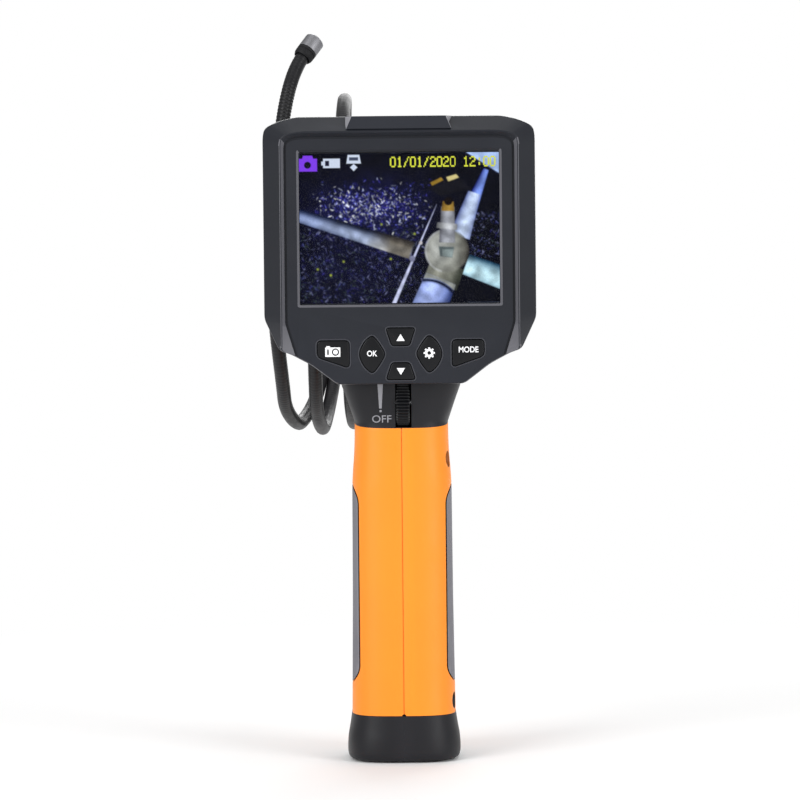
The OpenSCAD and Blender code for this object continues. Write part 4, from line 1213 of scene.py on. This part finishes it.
# Turn angle, lateral place, radius
COIL_PLAN = [
    (25, -13, 61), (90, -17.5, 60), (130, -18.6, 60), (180, -21.8, 60), (270, -20, 61), (360, -21.5, 61),
    (450, -29.4, 62), (482, -31.2, 61), (540, -31.4, 58), (630, -27, 49), (720, -29, 56), (765, -30.5, 60),
    (810, -38, 60), (845, -42.9, 60.5), (900, -46.2, 61),
]
CAMERA_AT = Vector((-35.2, 39.5, 251.2))
CAMERA_DIR = Vector((0.53, 0.45, 0.72)).normalized()
RIB_PITCH = 1.4


def coil_point(t):
    i = 0
    while t > COIL_PLAN[i + 1][0] and i < len(COIL_PLAN) - 2:
        i += 1
    a, b = COIL_PLAN[i], COIL_PLAN[i + 1]
    u = (t - a[0]) / (b[0] - a[0])
    k = 0.35 * u + 0.65 * u * u * (3 - 2 * u)
    x, r = (a[c] + (b[c] - a[c]) * k for c in (1, 2))
    return Vector((x, COIL_Y + r * math.cos(math.radians(t)), COIL_Z - r * math.sin(math.radians(t))))


def bezier(p, u):
    v = 1 - u
    return v ** 3 * p[0] + 3 * v * v * u * p[1] + 3 * v * u * u * p[2] + u ** 3 * p[3]


def cable_paths():
    start, end = coil_point(COIL_PLAN[0][0]), coil_point(COIL_PLAN[-1][0])
    a = math.radians(COIL_PLAN[0][0])
    lead = [Vector((0, RELIEF_END + 0.6, NOSE_Z)), Vector((0, RELIEF_END + 26, NOSE_Z)),
            start - 24 * Vector((-0.15, -math.sin(a), -math.cos(a))).normalized(), start]
    tail = [end, end + Vector((2.7, 0, 40)), CAMERA_AT - 14 * CAMERA_DIR, CAMERA_AT + 1.5 * CAMERA_DIR]
    first, last = COIL_PLAN[0][0], COIL_PLAN[-1][0]
    coil = [Vector((0, RELIEF_END - 4, NOSE_Z))] + [bezier(lead, i / 20) for i in range(20)]
    coil += [coil_point(first + (last - first) * i / 700) for i in range(700)]
    # The lowest part of the rising end belongs to the coil, the rest to the separate end piece
    split = 0.18
    coil += [bezier(tail, split * i / 20) for i in range(21)]
    tip = [bezier(tail, split + (1 - split) * i / 120) for i in range(121)]
    return coil, tip


def resampled(path, step):
    pts = np.array([tuple(p) for p in path])
    arc = np.concatenate([[0], np.cumsum(np.linalg.norm(np.diff(pts, axis=0), axis=1))])
    s = np.linspace(0, arc[-1], int(arc[-1] / step) + 1)
    kernel = np.ones(9) / 9
    out = np.stack([np.interp(s, arc, pts[:, k]) for k in range(3)], 1)
    padded = np.pad(out, ((4, 4), (0, 0)), mode="reflect", reflect_type="odd")
    return np.stack([np.convolve(padded[:, k], kernel, "valid") for k in range(3)], 1), s


def ribbed(name, path, sides=16, plain_from=None):
    """Cable skin: rounded ribs with narrow grooves between them, plain towards its end if asked."""
    pts, s = resampled(path, RIB_PITCH / 5)
    depth = (0.06 if plain_from is None else 0.24) * np.ones(len(s))
    if plain_from is not None:
        depth *= np.clip((plain_from - s) / 6, 0.12, 1)
    r = CABLE_R - depth * (0.5 - 0.5 * np.cos(2 * np.pi * s / RIB_PITCH)) ** 2
    t = np.gradient(pts, axis=0)
    t /= np.linalg.norm(t, axis=1, keepdims=True)
    u = np.array([1.0, 0, 0]) - t[:, :1] * t
    u /= np.linalg.norm(u, axis=1, keepdims=True)
    v = np.cross(t, u)
    rings = []
    for i in range(len(s)):
        a = 2 * np.pi * np.arange(sides) / sides
        rings.append(pts[i] + r[i] * (np.cos(a)[:, None] * u[i] + np.sin(a)[:, None] * v[i]))
    return smooth(loft(name, [ring.tolist() for ring in rings]), 70)


def build_cable():
    coil, tip = cable_paths()
    piece(ribbed("cable_coil", coil), "cable_coil", "cable_rubber", "probe")
    length = sum((a - b).length for a, b in zip(tip, tip[1:]))
    skin = ribbed("cable_end", tip, 20, length - 12)
    end = piece(skin, "cable_end", "cable_rubber", None, node="cable_tip")
    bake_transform(end)


# ---- CAD nodes that stay ----

def node_smoothing():
    """Node group that shades smooth and keeps edges over 30 degrees sharp."""
    group = bpy.data.node_groups.new("soft_shade", "GeometryNodeTree")
    group.interface.new_socket("Geometry", in_out="INPUT", socket_type="NodeSocketGeometry")
    group.interface.new_socket("Geometry", in_out="OUTPUT", socket_type="NodeSocketGeometry")
    start, end = group.nodes.new("NodeGroupInput"), group.nodes.new("NodeGroupOutput")
    faces, edges = (group.nodes.new("GeometryNodeSetShadeSmooth") for _ in range(2))
    edges.domain = "EDGE"
    edges.inputs["Shade Smooth"].default_value = False
    angle = group.nodes.new("GeometryNodeInputMeshEdgeAngle")
    over = group.nodes.new("FunctionNodeCompare")
    over.operation = "GREATER_THAN"
    over.inputs["B"].default_value = math.radians(30)
    link = group.links.new
    link(start.outputs[0], faces.inputs[0])
    link(faces.outputs[0], edges.inputs[0])
    link(angle.outputs["Unsigned Angle"], over.inputs["A"])
    link(over.outputs[0], edges.inputs["Selection"])
    link(edges.outputs[0], end.inputs[0])
    return group


def finish_cad_nodes():
    """Procedural materials, small edge rounds and smooth shading for every CAD node that is shown."""
    slots = {row["node"]: row["material_slot"] for row in frame["record"]["subparts"]}
    group = node_smoothing()
    rounds = {
        "battery_door": 0.3, "port_cover": 0.25, "probe_collar": 0.25, "strain_relief": 0.3,
        "camera_housing": 0.18, "camera_ring": 0.12, "probe_plug": 0.15, "body_screws": 0.15,
        "bezel_screws": 0.15, "battery_cells": 0.4,
    }
    for name, obj in frame["nodes"].items():
        if obj.hide_render:
            continue
        for slot in obj.material_slots:
            slot.material = MATERIALS[slots[name]]
        weld = obj.modifiers.new("weld", "WELD")
        weld.merge_threshold = 1e-6
        if name in rounds:
            add_bevel(obj, rounds[name], 35)
        obj.modifiers.new("shade", "NODES").node_group = group


# ---- Stage ----

def build_floor():
    """Pale round floor that fades into the white backdrop."""
    radius, sides, drop = 6.0, 64, 0.4 * MM
    mesh = bpy.data.meshes.new("floor")
    mesh.from_pydata([(x, y, -drop) for x, y in circle_points(radius, sides)], [], [tuple(range(sides))])
    floor = add_object("floor", mesh)
    n = Nodes("floor")
    far = n.add("ShaderNodeVectorMath")
    far.operation = "LENGTH"
    n.put(n.coord, far.inputs[0])
    n.set(Base_Color=n.mix(n.noise(9.0), (0.93, 0.93, 0.93), (0.97, 0.97, 0.97)), Roughness=0.9)
    glow = n.add("ShaderNodeEmission", Color=(1, 1, 1, 1), Strength=1.0)
    n.blend_out(n.ramp(far.outputs["Value"], 0.06, 0.5, 0.0, 1.0), n.bsdf, glow)
    mesh.materials.append(n.mat)


def build_world():
    """White backdrop that lights the object less than it shows to the camera."""
    world = bpy.data.worlds.new("studio")
    bpy.context.scene.world = world
    world.use_nodes = True
    tree = world.node_tree
    back = tree.nodes["Background"]
    back.inputs["Color"].default_value = (1, 1, 1, 1)
    level = tree.nodes.new("ShaderNodeMapRange")
    level.inputs["To Min"].default_value = 0.42
    tree.links.new(tree.nodes.new("ShaderNodeLightPath").outputs["Is Camera Ray"], level.inputs["Value"])
    tree.links.new(level.outputs["Result"], back.inputs["Strength"])


def build_lights():
    """Four soft rectangular lamps aimed at the middle of the tool."""
    aim = Vector((0, 0, 0.15))
    for name, at, watts, width, height in (
        ("key_light", (-0.9, -1.0, 0.75), 13.0, 0.7, 1.1), ("fill_light", (1.0, -0.9, 0.55), 10.0, 0.6, 1.1),
        ("top_light", (0.0, 0.1, 1.3), 3.0, 0.9, 0.7), ("back_light", (0.2, 1.3, 0.6), 9.0, 1.0, 0.8),
    ):
        light = bpy.data.lights.new(name, "AREA")
        light.shape = "RECTANGLE"
        light.size, light.size_y = width, height
        light.energy = watts
        lamp = add_object(name, light)
        lamp.location = at
        lamp.rotation_euler = (aim - Vector(at)).to_track_quat("-Z", "Y").to_euler()


def build_camera():
    """Long lens, level with the display, straight in front."""
    eye, aim = Vector((-0.4, -1480, 190)) * MM, Vector((-0.4, -30, 128.74)) * MM
    data = bpy.data.cameras.new("camera")
    half_view, distance = 140.16, 1451.6
    data.angle = 2 * math.atan(half_view / distance)
    data.clip_start = 0.01
    cam = add_object("camera", data)
    turn = (aim - eye).to_track_quat("-Z", "Y").to_matrix().to_4x4()
    roll = Matrix.Rotation(math.radians(-0.55), 4, "Z")
    cam.matrix_world = Matrix.Translation(eye) @ turn @ roll
    bpy.context.scene.camera = cam
    bpy.context.scene.view_settings.view_transform = "Standard"


build_bezel()
build_key_rims()
for key_name in KEYS:
    build_key(key_name)
build_marks()
build_neck_marks()
build_picture()
for hand in SIDES:
    build_shell(hand)
    build_cover(hand)
    build_grip(hand)
build_wheel()
build_cable()
finish_cad_nodes()
build_floor()
build_world()
build_lights()
build_camera()
